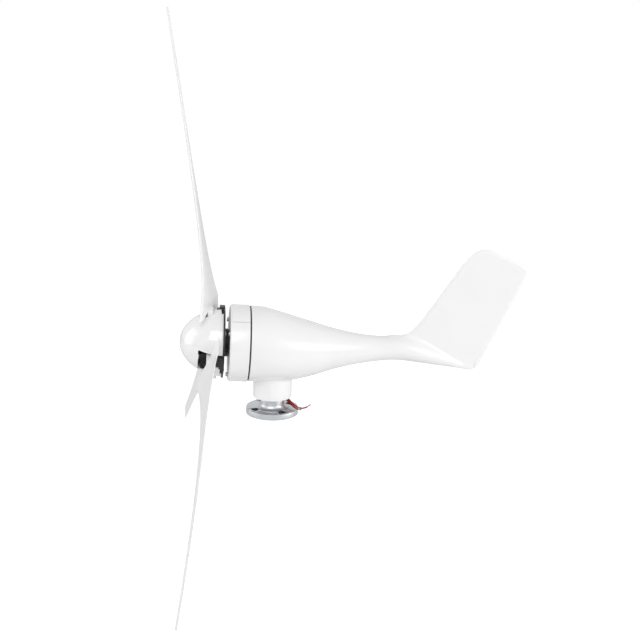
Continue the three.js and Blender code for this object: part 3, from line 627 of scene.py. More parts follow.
@dataclass
class Studio:
    """Pale studio: a floor far below the mast flange, soft lamps and the camera."""

    eye: tuple = (-129.3, -1615.6, 578.7)
    target: tuple = (78.86, 0.0, 164.1)
    lens: float = 55.54
    roll: float = math.radians(1.78)
    floor_depth: float = -470.0
    floor_size: float = 60000.0
    floor_glow: float = 0.58        # what the camera adds to the floor, so that it meets the white room
    room_light: float = 0.5
    mirrored: float = 0.75          # how much of the way to white the room shines in glossy surfaces

    def build_camera(self) -> Object:
        """Places the camera, rolled a little about its own line of sight.

        Returns:
            The camera.
        """
        data = bpy.data.cameras.new("camera")
        data.lens, data.sensor_width = self.lens, 36.0
        data.clip_start, data.clip_end = 0.01, 100.0
        camera = bpy.data.objects.new("camera", data)
        bpy.context.scene.collection.objects.link(camera)
        ahead = (mm(*self.target) - mm(*self.eye)).normalized()
        level = ahead.cross(Vector((0, 0, 1))).normalized()
        upright = level.cross(ahead)
        right = level * math.cos(self.roll) + upright * math.sin(self.roll)
        up = upright * math.cos(self.roll) - level * math.sin(self.roll)
        facing = Matrix((right, up, -ahead)).transposed().to_4x4()
        camera.matrix_world = Matrix.Translation(mm(*self.eye)) @ facing
        bpy.context.scene.camera = camera
        return camera

    def build_floor(self) -> Object:
        """Lays a wide matt floor, which fades to white for the camera and keeps a soft shadow.

        Returns:
            The floor.
        """
        bpy.ops.object.select_all(action="DESELECT")
        bpy.ops.mesh.primitive_plane_add(size=self.floor_size * MM, location=mm(0, 0, self.floor_depth))
        floor = take("studio_floor")
        material = bpy.data.materials.new("pale_studio_floor")
        tree = empty_tree(material)
        place = add_node(tree, "ShaderNodeTexCoord", {}).outputs["Object"]
        cloud = add_node(tree, "ShaderNodeTexNoise", {"Scale": 3.0, "Detail": 3.0}, {"Vector": place})
        colour = add_node(tree, "ShaderNodeMix", {"data_type": "RGBA", 6: linear("f6f6f6"),
                                                  7: linear("f3f3f3")}, {0: cloud.outputs["Fac"]})
        matt = add_node(tree, "ShaderNodeBsdfDiffuse", {}, {"Color": colour.outputs[2]})
        path = add_node(tree, "ShaderNodeLightPath", {})
        lift = add_node(tree, "ShaderNodeMath", {"operation": "MULTIPLY", 1: self.floor_glow},
                        {0: path.outputs["Is Camera Ray"]})
        glow = add_node(tree, "ShaderNodeEmission", {}, {"Strength": lift.outputs[0]})
        both = add_node(tree, "ShaderNodeAddShader", {}, {0: matt.outputs[0], 1: glow.outputs[0]})
        add_node(tree, "ShaderNodeOutputMaterial", {}, {"Surface": both.outputs[0]})
        floor.data.materials.append(material)
        return floor

    def build_world(self) -> None:
        """Fills the room with plain light; camera, glossy and clear rays see a white room."""
        world = bpy.data.worlds.new("studio")
        bpy.context.scene.world = world
        tree = empty_tree(world)
        path = add_node(tree, "ShaderNodeLightPath", {})
        seen = add_node(tree, "ShaderNodeMath", {"operation": "MAXIMUM"},
                        {0: path.outputs["Is Camera Ray"], 1: path.outputs["Is Transmission Ray"]})
        mirrored = add_node(tree, "ShaderNodeMath", {"operation": "MULTIPLY", 1: self.mirrored},
                            {0: path.outputs["Is Glossy Ray"]})
        white = add_node(tree, "ShaderNodeMath", {"operation": "MAXIMUM"},
                         {0: seen.outputs[0], 1: mirrored.outputs[0]})
        level = add_node(tree, "ShaderNodeMapRange", {"To Min": self.room_light, "To Max": 1.0},
                         {"Value": white.outputs[0]})
        back = add_node(tree, "ShaderNodeBackground", {"Color": (1.0, 1.0, 1.0, 1.0)},
                        {"Strength": level.outputs["Result"]})
        add_node(tree, "ShaderNodeOutputWorld", {}, {"Surface": back.outputs[0]})

    def add_lamp(self, name: str, place: tuple, aim: tuple, width: float, height: float,
                 power: float) -> None:
        """Hangs a soft rectangular lamp.

        Args:
            name: Name of the lamp.
            place: Its place.
            aim: Place that it is pointed at.
            width: Width of its face.
            height: Height of its face.
            power: Its power in watts.
        """
        data = bpy.data.lights.new(name, "AREA")
        data.shape, data.size, data.size_y = "RECTANGLE", width * MM, height * MM
        data.energy = power
        lamp = bpy.data.objects.new(name, data)
        bpy.context.scene.collection.objects.link(lamp)
        towards = (mm(*aim) - mm(*place)).to_track_quat("-Z", "Y")
        lamp.matrix_world = Matrix.Translation(mm(*place)) @ towards.to_matrix().to_4x4()

    def build(self) -> None:
        """Builds the floor, the room and the lamps, and sets how colours are shown."""
        self.build_floor()
        self.build_world()
        self.add_lamp("key_softbox", (-900, -2600, 2100), (60, 0, 150), 2100, 1900, 37)
        self.add_lamp("fill_softbox", (2400, -2200, 1000), (100, 0, 150), 1600, 1600, 14)
        self.add_lamp("nose_softbox", (-2800, 150, 820), (-140, 0, 130), 1800, 2300, 20)
        self.add_lamp("tail_softbox", (3300, -1000, 150), (-100, 0, 60), 1400, 2200, 41)
        bpy.context.scene.view_settings.view_transform = "Standard"


# ---------------------------------------------------------------- leads


@dataclass
class Leads:
    """Three limp leads that leave the boss behind and drop over the rim, with bare stranded ends."""

    diameter: float = 2.6
    strand: float = 0.34
    strands: int = 7
    routes: tuple = (
        ((-1.8, 23.3, 21.5), (-1.8, 29.9, 21.5), (1.9, 38.4, 21.5), (10.8, 42, 21.2), (19.6, 38.3, 20.7),
         (24, 30.3, 20.3), (25.8, 22.1, 20), (28, 12.9, 20.2), (30.4, 3.6, 20), (33.9, -6.2, 18.4),
         (38.6, -15.4, 16.4), (43.7, -23.6, 15.2), (49.2, -30.6, 16.6), (54.8, -36.9, 20.4),
         (61.3, -42.8, 27)),
        ((0.9, 23.3, 23.1), (0.9, 29.3, 23.1), (3.9, 36.3, 23.2), (10.9, 39, 22.9), (17.6, 36, 22.5),
         (21, 29.2, 22.1), (22.8, 21.4, 21.8), (25, 12.1, 22), (27.4, 2.5, 21.8), (31.2, -7.7, 20.2),
         (36, -17.2, 18.2), (41.1, -25.4, 17), (46.2, -32.3, 18.5)),
        ((0.9, 23.3, 19.9), (0.9, 29.3, 19.9), (3.8, 36.3, 19.8), (10.7, 39, 19.5), (17.4, 36.1, 18.9),
         (21, 29.3, 18.5), (22.8, 21.4, 18.2), (25, 12.1, 18.4), (27.3, 2.8, 18.2), (30.9, -7.1, 16.6),
         (35.7, -16.7, 14.6), (41.1, -25.4, 13.4), (47.1, -32.5, 14.3)),
    )
    bare: tuple = (7.0, 6.5, 6.0)       # bare end of each lead, part of its length
    tucked: float = 2.5                 # how far the strands reach back into the sheath

    def build(self, sheath: Material, tinned: Material) -> None:
        """Args:
            sheath: Material of the sheaths.
            tinned: Material of the bare strands.
        """
        for index, (route, bare) in enumerate(zip(self.routes, self.bare)):
            line = smooth_line(route, 8)
            steps = np.linalg.norm(np.diff(line, axis=0), axis=1)
            left = steps.sum() - np.concatenate([[0], np.cumsum(steps)])
            covered, open_end = line[left >= bare], line[left <= bare + self.tucked]
            name = f"lead_{index + 1}"
            tip = self.build_strands(f"{name}_strands", open_end)
            settle(tip, Body.STUB, tinned, "steel")
            cord = self.tube(f"{name}_sheath", covered, self.diameter / 2)
            settle(cord, Body.STUB, sheath, "red_sheath", name)

    def tube(self, name: str, *lines: np.ndarray) -> Object:
        """Lays round tubes along lines.

        Args:
            name: Name of the curve.
            lines: Lines of points and, as the last argument, the tubes' radius.

        Returns:
            One curve that holds all tubes.
        """
        *paths, radius = lines
        curve = bpy.data.curves.new(name, "CURVE")
        curve.dimensions = "3D"
        curve.bevel_depth, curve.bevel_resolution, curve.use_fill_caps = radius * MM, 5, True
        for path in paths:
            spline = curve.splines.new("POLY")
            spline.points.add(len(path) - 1)
            spline.points.foreach_set("co", np.c_[path * MM, np.ones(len(path))].ravel())
            spline.use_smooth = True
        tube = bpy.data.objects.new(name, curve)
        bpy.context.scene.collection.objects.link(tube)
        return tube

    def build_strands(self, name: str, line: np.ndarray) -> Object:
        """Twists fine strands around a line, a little splayed at its end.

        Args:
            name: Name of the piece.
            line: Points of the line.

        Returns:
            The strands as one mesh.
        """
        along = np.gradient(line, axis=0)
        along /= np.linalg.norm(along, axis=1)[:, None]
        side = np.cross(along, (0.0, 0.0, 1.0))
        side /= np.linalg.norm(side, axis=1)[:, None]
        up = np.cross(side, along)
        share = np.linspace(0, 1, len(line))
        fine = np.linspace(0, 1, 24)

        def refine(values: np.ndarray) -> np.ndarray:
            """Values at the finer steps."""
            return np.stack([np.interp(fine, share, values[:, k]) for k in range(3)], axis=1)

        middle, across, above = refine(line), refine(side), refine(up)
        paths = [middle]
        for k in range(self.strands - 1):
            turn = 2 * math.pi * k / (self.strands - 1) + 2.6 * fine
            out = 0.72 + 0.35 * fine**3 * (1 + 0.5 * math.sin(3.0 * k))
            paths.append(middle + across * (out * np.cos(turn))[:, None]
                         + above * (out * np.sin(turn))[:, None])
        strands = self.tube(name, *paths, self.strand)
        strands.data.bevel_resolution = 2
        pick(strands)
        bpy.ops.object.convert(target="MESH")
        return bpy.context.active_object


# ---------------------------------------------------------------- mast flange


@dataclass
class MastFlange:
    """Turned aluminium flange with four holes and a boss, and the rubber grommet in its port."""

    radius: float = 45.0
    thickness: float = 10.5
    boss: float = 20.5
    boss_top: float = 27.2
    fillet: float = 8.0
    step_height: float = 0.7        # shallow turned step in the flange's face, around the fillet
    step_width: float = 2.2
    hole: float = 6.2
    hole_circle: float = 34.0
    hole_turn: float = 25.0
    port: float = 5.4
    port_height: float = 21.5
    socket: float = 12.8
    socket_floor: float = 14.5
    edge: float = 0.6

    def build_flange(self, finish: Material, hole_shade: Material) -> Object:
        """Turns the flange, drills it, breaks its edges and paints shade into the bolt holes.

        Args:
            finish: Material of the turned faces.
            hole_shade: Material of the bolt holes, dark for painted shade.

        Returns:
            The flange.
        """
        curve = [(self.thickness + self.fillet * c, self.boss + self.fillet * s) for c, s in quarter(13)]
        face, land = self.thickness - self.step_height, self.boss + self.fillet + self.step_width
        profile = [(0, 0), (0, self.radius), (face, self.radius), (face, land), (self.thickness, land),
                   *curve, (self.boss_top, self.boss), (self.boss_top, 0)]
        flange = turned("mast_flange_turned", profile, Axis.MAST, 128)
        angles = [math.radians(self.hole_turn + 90 * index) for index in range(4)]
        places = [(self.hole_circle * math.cos(a), self.hole_circle * math.sin(a)) for a in angles]
        drill(flange, Axis.MAST, self.hole, (-5, self.boss_top), 40, places)
        carve(flange, rod("socket", Axis.MAST, self.socket, self.socket_floor, 40, 64),
              rod("port", Axis.CROSS, self.port, 0, 40, 40, (0, self.port_height)))
        break_edges(flange, self.edge, 3)
        settle(flange, Body.STUB, finish, "machined", "mast_flange")
        # painted shade: the faces of the bolt holes get the dark material
        flange.data.materials.append(hole_shade)
        for face in flange.data.polygons:
            if any((face.center.xy - mm(*at, 0).xy).length < (self.hole + 0.1) * MM for at in places):
                face.material_index = 1
        return flange

    def build_grommet(self, finish: Material) -> Object:
        """Turns the grommet with a rounded lip.

        Args:
            finish: Its material.

        Returns:
            The grommet.
        """
        inside, lip_start, outside = 13.5, self.boss + 1, self.boss + 2.5
        bush, lip = self.port - 0.6, self.port + 1.2
        profile = [(inside, 0), (inside, bush), (lip_start, bush), (lip_start, lip), (outside, lip),
                   (outside, 0)]
        grommet = turned("lead_grommet_rubber", profile, Axis.MAST, 48)
        break_edges(grommet, 0.5, 3)
        stand = Matrix.Translation(mm(0, 0, self.port_height)) @ Matrix.Rotation(-math.pi / 2, 4, "X")
        move(grommet, stand)
        return settle(grommet, Body.STUB, finish, "rubber", "lead_grommet")

    def build(self, metal: Material, hole_shade: Material, rubber: Material) -> None:
        """Builds the flange and its grommet.

        Args:
            metal: Material of the flange.
            hole_shade: Material of its bolt holes, dark for painted shade.
            rubber: Material of the grommet.
        """
        self.build_flange(metal, hole_shade)
        self.build_grommet(rubber)


# ---------------------------------------------------------------- cast body


@dataclass
class CastBody:
    """Body, boom and fin in one casting, with the neck that houses both yaw bearings."""

    # Place along the boom, then top and bottom from the rotor axis.
    outline: tuple = (
        (-44.8, 64.5, -64.1), (-15, 61.8, -65), (14, 53.5, -65), (42, 44.8, -61), (70, 36, -54.8),
        (97, 27.6, -46.6), (125, 20.4, -39.8), (153, 15, -34.8), (184, 11.8, -31), (215, 11.4, -29.8),
        (247, 4.5, -33), (282, -13.5, -37.6), (325, -34.5, -45), (350, -45.5, -49.5),
        (354, -47.2, -48.2),
    )
    narrowing: tuple = (215.0, 350.0, 0.2)      # where the boom starts and ends to narrow, and its share
    fin_start: float = 190.0
    fin_thickness: float = 5.0
    fin_border: float = 5.0         # the fin thins towards its edge over this width
    fin_edge_half: float = 1.7      # half of its thickness where the edge's rounding starts
    fin_edge_round: float = 1.4
    blend: float = 10.0             # size of the fillet between boom and fin
    rim: float = 0.9                # rounding of the front rim
    neck_radius: float = 33.3
    neck_bottom: float = 29.2
    neck_edge: float = 2.0
    neck_fillet: float = 4.5
    tower_radius: float = 30.5
    tower_top: float = 79.3
    bearing_seat: float = 26.4
    land: float = 23.5
    land_bottom: float = 51.6
    land_top: float = 64.0
    circlip_groove: tuple = (33.8, 36.0, 27.8)
    plate_seat: float = -30.9
    stator_bore: float = 52.4
    bolt_circle: float = 56.2
    side_points: int = 84
    plate_bore: float = 46.0
    # The hollow behind the bearing plate's seat, as place along it and radius.
    chamber: tuple = ((-18, 54), (8, 52), (34, 45), (60, 37), (80, 26), (86, 0))
    chamber_drop: float = 4.0       # the chamber's axis lies this far under the rotor's
    thread: float = 2.5
    slice_steps: int = 420          # heights that a slice is sampled at
    edge: np.ndarray = field(default_factory=lambda: np.zeros((0, 2)))      # the fin's outline
    lines: np.ndarray = field(default_factory=lambda: np.zeros((0, 3)))     # the body's, finely stepped

    def fin_outline(self) -> np.ndarray:
        """Draws the fin's outline.

        Returns:
            Places along the axis and above it, as a closed line.
        """
        return np.array([
            (self.fin_start, 0), *bezier((205, 11), (236, 11), (242, 24), (254, 37.5)),
            *bezier((318, 132), (334, 157), (351, 169), (372, 163)),
            *bezier((426, 139.5), (441, 132), (436, 116.5)),
            *bezier((363, -38), (358, -48.5), (346, -48.5)), (330, -46), (self.fin_start, -20),
        ])

    def top_and_bottom(self, along: float | np.ndarray) -> tuple:
        """Height of the round body's top and of its bottom at places along it."""
        return tuple(np.interp(along, self.lines[:, 0], self.lines[:, k]) for k in (1, 2))

    def round_at(self, along: float) -> tuple:
        """Measures the round body.

        Args:
            along: Place along the rotor axis.

        Returns:
            Height of its middle, its half height and its half width.
        """
        top, bottom = self.top_and_bottom(along)
        start, end, share = self.narrowing
        part = min(max((along - start) / (end - start), 0), 1)
        half = (top - bottom) / 2
        return (top + bottom) / 2, half, half * (1 - share * part * part * (3 - 2 * part))

    def levels_of_fin(self, along: float) -> list:
        """Measures how low and how high the fin reaches.

        Args:
            along: Place along the rotor axis.

        Returns:
            Its lowest and highest level, or nothing where it has none.
        """
        starts, ends = self.edge, np.roll(self.edge, -1, axis=0)
        crossing = (starts[:, 0] <= along) != (ends[:, 0] <= along)
        if not crossing.any():
            return []
        a, b = starts[crossing], ends[crossing]
        levels = a[:, 1] + (along - a[:, 0]) / (b[:, 0] - a[:, 0]) * (b[:, 1] - a[:, 1])
        return [levels.min(), levels.max()]

    def fin_half(self, along: float, heights: np.ndarray) -> tuple:
        """Measures the fin at one place along it.

        Args:
            along: Place along the rotor axis.
            heights: Heights above the axis.

        Returns:
            Half thickness at every height, and how far inside the fin's edge it lies.
        """
        levels = self.levels_of_fin(along)
        if not levels:
            return np.zeros(len(heights)), np.full(len(heights), -FAR)
        run = np.roll(self.edge, -1, axis=0) - self.edge
        ahead = along - self.edge[:, 0] + 0 * heights[:, None]
        offset = np.stack([ahead, heights[:, None] - self.edge[:, 1]], axis=2)
        share = np.clip((offset * run).sum(2) / (run**2).sum(1), 0, 1)
        gap = np.sqrt(((offset - share[:, :, None] * run) ** 2).sum(2)).min(1)
        inside = np.where((heights > levels[0]) & (heights < levels[1]), gap, -gap)
        depth = np.clip(inside, 0, self.fin_edge_round) / self.fin_edge_round
        corner = np.sqrt(np.clip(1 - (1 - depth) ** 2, 0, 1))
        slope = np.clip((inside - self.fin_edge_round) / (self.fin_border - self.fin_edge_round), 0, 1)
        return corner * self.fin_edge_half + slope * (self.fin_thickness / 2 - self.fin_edge_half), inside

    def slice_at(self, along: float, inset: float = 0.0) -> np.ndarray:
        """Draws one half of a slice of the skin: the round body blended with the fin's thin plate.

        Args:
            along: Place of the slice along the rotor axis.
            inset: How far its outline is drawn in, for the front rim's rounding.

        Returns:
            Pairs of half width and height, from bottom to top, side_points of them.
        """
        middle, half, width = self.round_at(along)
        half, width = half - inset, width - inset
        if along <= self.fin_start:
            turn = np.linspace(-math.pi / 2, math.pi / 2, self.side_points)
            return np.stack([width * np.cos(turn), middle + half * np.sin(turn)], axis=1)
        present = bool(along < self.outline[-1][0])     # whether the round body still reaches this place
        size = min(self.blend, 0.8 * half) if present else 1e-3
        levels = self.levels_of_fin(along)
        low = min([middle - half] * present + levels[:1]) - size
        high = max([middle + half] * present + levels[1:]) + size
        turn = np.linspace(0, math.pi, self.slice_steps)
        heights = (low + high) / 2 - (high - low) / 2 * np.cos(turn)

        def depth(widths: np.ndarray, at: np.ndarray, thin: tuple) -> np.ndarray:
            """How far points lie outside the blend of the round body and the fin.

            Args:
                widths: Their distances from the middle plane.
                at: Their heights.
                thin: What fin_half says of these heights.

            Returns:
                Distances, negative inside.
            """
            plate = np.where(thin[1] > 0, widths - thin[0], np.hypot(widths, thin[1]))
            if not present:
                return plate
            spread = np.sqrt((widths / width) ** 2 + ((at - middle) / half) ** 2)
            tube = (spread - 1) * min(width, half)
            closeness = np.clip(size - np.abs(tube - plate), 0, None) / size
            return np.minimum(tube, plate) - closeness**2 * size / 4

        def in_middle(at: np.ndarray) -> np.ndarray:
            """Whether the middle plane is solid at some heights."""
            return depth(np.zeros(len(at)), at, self.fin_half(along, at)) < 0

        first, last = np.flatnonzero(in_middle(heights))[[0, -1]]
        low, high = close_in(heights[[first, last]], heights[[first - 1, last + 1]], in_middle, 24)
        heights = (low + high) / 2 - (high - low) / 2 * np.cos(turn)
        thin = self.fin_half(along, heights)
        beyond = np.full(len(heights), width + 2 * self.blend)
        half_widths = close_in(0 * beyond, beyond, lambda widths: depth(widths, heights, thin) < 0, 26)
        half_widths[[0, -1]] = 0
        return self.respace(np.stack([half_widths, heights], axis=1))

    def respace(self, line: np.ndarray) -> np.ndarray:
        """Spaces points along a half slice, closer together where it bends.

        Args:
            line: Points of the half slice.

        Returns:
            As many points as side_points says.
        """
        step = np.diff(line, axis=0)
        length = np.hypot(*step.T)
        heading = np.unwrap(np.arctan2(step[:, 1], step[:, 0]))
        bend = np.abs(np.diff(heading, append=heading[-1]))
        weight = np.concatenate([[0], np.cumsum(length + 9.0 * np.minimum(bend, 0.5))])
        even = np.linspace(0, weight[-1], self.side_points)
        return np.stack([np.interp(even, weight, line[:, k]) for k in (0, 1)], axis=1)

    def build_skin(self) -> Object:
        """Rolls the outer skin: each slice is the round body blended with the fin's thin plate.

        Returns:
            The closed skin.
        """
        last = self.edge[:, 0].max()
        stations = [(BODY_FRONT + self.rim * c, self.rim * s) for c, s in quarter(6)]
        plain = np.concatenate([np.linspace(BODY_FRONT + 3, 190, 80), np.linspace(191.5, 426, 150),
                                last - 10.9 * np.linspace(1, 0, 26)[1:] ** 2 - 0.002])
        stations += [(along, 0.0) for along in plain]
        rows = []
        for along, inset in stations:
            half = self.slice_at(along, inset)
            loop = np.concatenate([half * (-1, 1), half[::-1][1:] * (1, 1)])
            fade = min(max(-along / -BODY_FRONT, 0), 1)
            shear = math.tan(UPTILT) * fade * loop[:, 1]
            rows.append(np.stack([along + shear, loop[:, 0], loop[:, 1]], axis=1))
        return skin("nacelle_casting", np.array(rows))

    def under(self, along: np.ndarray, across: np.ndarray) -> np.ndarray:
        """Measures the round body's underside.

        Args:
            along: Places along the rotor axis.
            across: Places across it.

        Returns:
            Heights over the rotor axis.
        """
        top, bottom = self.top_and_bottom(along)
        half = (top - bottom) / 2
        return (top + bottom) / 2 - half * np.sqrt(np.clip(1 - (across / half) ** 2, 0, 1))

    def build_neck(self) -> Object:
        """Rolls the neck: rounded at its bottom edge and flared where it meets the round body.

        Returns:
            The closed neck.
        """
        turn = np.linspace(0, 2 * math.pi, 129)
        floor = self.neck_bottom - AXIS_HEIGHT

        def ring(radius: float, height: np.ndarray | float) -> np.ndarray:
            """Points of one turn of the neck."""
            return np.stack([radius * np.cos(turn), radius * np.sin(turn), height + 0 * turn], axis=1)

        def body(radius: float) -> np.ndarray:
            """Heights of the body's underside around the neck."""
            return self.under(radius * np.cos(turn), radius * np.sin(turn))

        radius, outer = self.neck_radius, self.neck_radius + self.neck_fillet
        rows = [ring(radius - self.neck_edge * s, floor + self.neck_edge * c) for c, s in quarter(7)]
        start = body(radius) - self.neck_fillet
        rows += [ring(radius, floor + self.neck_edge + (start - floor - self.neck_edge) * s)
                 for s in np.linspace(0, 1, 8)[1:]]
        for s in np.linspace(0, 1, 9)[1:]:
            height = (1 - s) ** 2 * start + 2 * s * (1 - s) * body(radius) + s * s * (body(outer) + 0.15)
            rows.append(ring((1 - s * s) * radius + s * s * outer, height))
        rows += [ring(outer - 2, body(outer) + 3), ring(radius - 4, body(radius) + 12)]
        return skin("neck", np.array(rows))

    def build(self, finish: Material) -> Object:
        """Joins skin and neck, hollows them for the alternator, the yaw bearings and the bolts.

        Args:
            finish: Its material.

        Returns:
            The casting.
        """
        self.edge = self.fin_outline()
        self.lines = smooth_line(self.outline, 30)
        casting = carve(self.build_skin(), self.build_neck(), how=Carve.ADD)
        move(casting, Matrix.Translation(mm(0, 0, AXIS_HEIGHT)))
        front, seat, bore, narrow = BODY_FRONT - 6, self.plate_seat, self.stator_bore, self.plate_bore
        hollow = turned("bore", [(front, 0), (front, bore), (seat, bore), (seat, narrow),
                                 (seat + 6, narrow), (seat + 6, 0)], Axis.ROTOR)
        chamber = turned("chamber", [(seat + 3, 0), (seat + 3, narrow), *self.chamber], Axis.ROTOR, 48)
        move(hollow, rotor_frame())
        move(chamber, Matrix.Translation(mm(0, 0, AXIS_HEIGHT - self.chamber_drop)))
        carve(casting, hollow, chamber)
        carve(casting, rod("tower", Axis.MAST, self.tower_radius, 57.5, self.tower_top, 64), how=Carve.ADD)
        bottom, top, wide, chamfer = self.neck_bottom - 1, self.tower_top + 1, self.bearing_seat, 1.8
        carve(casting, turned("bearing_bore", [
            (bottom, 0), (bottom, wide + chamfer), (bottom + chamfer, wide), (self.land_bottom, wide),
            (self.land_bottom, self.land), (self.land_top, self.land), (self.land_top, wide),
            (top, wide), (top, 0)], Axis.MAST))
        low, high, radius = self.circlip_groove
        carve(casting, turned("groove", [(low, 20), (low, radius), (high, radius), (high, 20)], Axis.MAST))
        for across, up in shell_bolt_places(self.bolt_circle):
            thread = rod("thread", Axis.ROTOR, self.thread, BODY_FRONT - 1, BODY_FRONT + 6, 20, (across, up))
            carve(casting, move(thread, rotor_frame()))
        return settle(casting, Body.NACELLE, finish, "white_paint", "nacelle_body")


def bezier(*control: tuple, count: int = 20) -> list:
    """Draws a Bezier curve.

    Args:
        control: Its control points.
        count: Number of its steps.

    Returns:
        Its points, both ends included.
    """
    share = np.linspace(0, 1, count + 1)[:, None]
    order = len(control) - 1
    return list(sum(math.comb(order, k) * share**k * (1 - share) ** (order - k) * np.array(point, float)
                    for k, point in enumerate(control)))


def shell_bolt_places(radius: float) -> list:
    """Places of the three shell bolts around the rotor axis."""
    return [(radius * math.sin(math.radians(d)), radius * math.cos(math.radians(d))) for d in (60, 180, 300)]


# ---------------------------------------------------------------- alternator's shell


@dataclass
class AlternatorShell:
    """Front shell with its raised saddles, the gasket behind it and the three bolts through both."""

    front: float = -76.0
    rear: float = -43.3
    radius: float = 64.4
    inner: float = 60.2
    seat: float = 20.3
    corner: float = 3.0
    saddle_height: float = 0.8
    saddle_half: float = 42.5           # half angle of the one on top and of the one below
    saddle_start: float = -73.2
    groove_half: float = 0.8            # half width of the grooves beside the saddles
    groove_depth: float = 1.6
    bolt_circle: float = 56.2
    bolt_hole: float = 2.6

    def build_shell(self, finish: Material) -> Object:
        """Turns the cup, adds the saddles and drills it.

        Args:
            finish: Its material.

        Returns:
            The shell.
        """
        rounding = [(self.front + self.corner * c, self.radius - self.corner * s) for c, s in quarter(8)]
        rear, outer = self.rear, self.radius
        lip, wall, seat_end, opening = self.front + 2.6, self.front + 4.5, -61.0, 15
        profile = [(self.front, opening), *rounding, (rear - 0.5, outer), (rear, outer - 0.5),
                   (rear, self.inner), (wall, self.inner), (wall, self.seat + 5), (seat_end, self.seat + 4),
                   (seat_end, self.seat), (lip, self.seat), (lip, opening)]
        shell = turned("alternator_shell", profile, Axis.ROTOR, FINE_STEPS)
        half, start = self.saddle_half, self.saddle_start
        low, high = outer - 1, outer + self.saddle_height
        saddle = [(start, low), (start, high - 0.3), (start + 0.4, high), (rear - 0.4, high),
                  (rear, high - 0.4), (rear, low)]
        for index in range(2):
            band = turned("saddle", saddle, Axis.ROTOR, round(1.2 * half), 2 * half)
            side = np.mean([vertex.co.y for vertex in band.data.vertices])
            centre = math.radians(half) * (1 if side > 0 else -1) + index * math.pi
            carve(shell, move(band, Matrix.Rotation(centre, 4, "X")), how=Carve.ADD)
            for end in (-1, 1):
                groove = block("groove", (start, -self.groove_half, outer - self.groove_depth),
                               (rear, self.groove_half, high + 2))
                turn = math.radians(end * (half + 0.4)) + index * math.pi
                carve(shell, move(groove, Matrix.Rotation(turn, 4, "X")))
        drill(shell, Axis.ROTOR, self.bolt_hole, (self.front - 1, self.front + 8), 24,
              shell_bolt_places(self.bolt_circle))
        move(shell, rotor_frame())
        return settle(shell, Body.NACELLE, finish, "white_paint", "front_shell")

    def build_gasket(self, finish: Material) -> Object:
        """Turns the gasket, a little bulged where it is squeezed between the castings.

        Args:
            finish: Its material.

        Returns:
            The gasket.
        """
        gasket = turned("shell_gasket_ring", [(-43.0, 53.4), (-43.0, 63.0), (-42.6, 63.4), (-42.05, 63.5),
                                              (-41.5, 63.4), (-41.1, 63.0), (-41.1, 53.4)],
                        Axis.ROTOR, FINE_STEPS)
        drill(gasket, Axis.ROTOR, self.bolt_hole, (-44, -40), 24, shell_bolt_places(self.bolt_circle))
        move(gasket, rotor_frame())
        return settle(gasket, Body.NACELLE, finish, "rubber", "shell_gasket")

    def build_bolts(self, finish: Material) -> None:
        """Makes one socket-head bolt and copies it to the three places.

        Args:
            finish: Material of the bolts.
        """
        head = self.front - 0.3
        bolt = turned("shell_screw_1", [(head - 2.4, 0), (head - 2.4, 3.3), (head - 2.0, 3.8), (head, 3.8),
                                        (head, 2.1), (BODY_FRONT + 5.5, 2.1), (BODY_FRONT + 5.5, 0)],
                      Axis.ROTOR, 32)
        carve(bolt, rod("socket", Axis.ROTOR, 2.0, head - 3, head - 0.9, 6))
        place_copies(bolt, "shell_screw", at_places(shell_bolt_places(self.bolt_circle)), Body.NACELLE,
                     finish, "shell_bolt")

    def build(self, paint: Material, rubber: Material, steel: Material) -> None:
        """Builds shell, gasket and bolts.

        Args:
            paint: Material of the shell.
            rubber: Material of the gasket.
            steel: Material of the bolts.
        """
        self.build_shell(paint)
        self.build_gasket(rubber)
        self.build_bolts(steel)


def place_copies(first: Object, name: str, places: list, body: Body, finish: Material, node: str,
                 slot: str = "steel") -> None:
    """Copies a piece drawn in the rotor's level frame to its places and settles every copy.

    Args:
        first: The finished piece, which becomes the first copy.
        name: Name of the copies, numbered from 1.
        places: Matrices of the places in the level frame.
        body: Body that the copies ride on.
        finish: Their material.
        node: CAD nodes that they stand for, numbered the same way.
        slot: Material slot of the record.
    """
    for index, matrix in enumerate(places):
        copy = twin(first, f"{name}_copy", rotor_frame() @ matrix)
        copy.name = copy.data.name = f"{name}_{index + 1}"
        settle(copy, body, finish, slot, f"{node}_{index + 1}")
    bpy.data.objects.remove(first)


# ---------------------------------------------------------------- rotor


def at_places(places: list) -> list:
    """Matrices that shift a piece from the rotor axis to each of some places across it."""
    return [Matrix.Translation(mm(0, *place)) for place in places]


def at_blades(*places: tuple) -> list:
    """Matrices that turn a piece to every blade and shift it across and out by each of the places."""
    return [Matrix.Rotation(azimuth, 4, "X") @ shift
            for azimuth in BLADE_AZIMUTHS for shift in at_places(places)]


def screw_places() -> list:
    """Places of the nose screws, midway between the blades, as across and up."""
    turns = [azimuth + math.pi / 3 for azimuth in BLADE_AZIMUTHS]
    return [(-SCREW_CIRCLE * math.sin(turn), SCREW_CIRCLE * math.cos(turn)) for turn in turns]


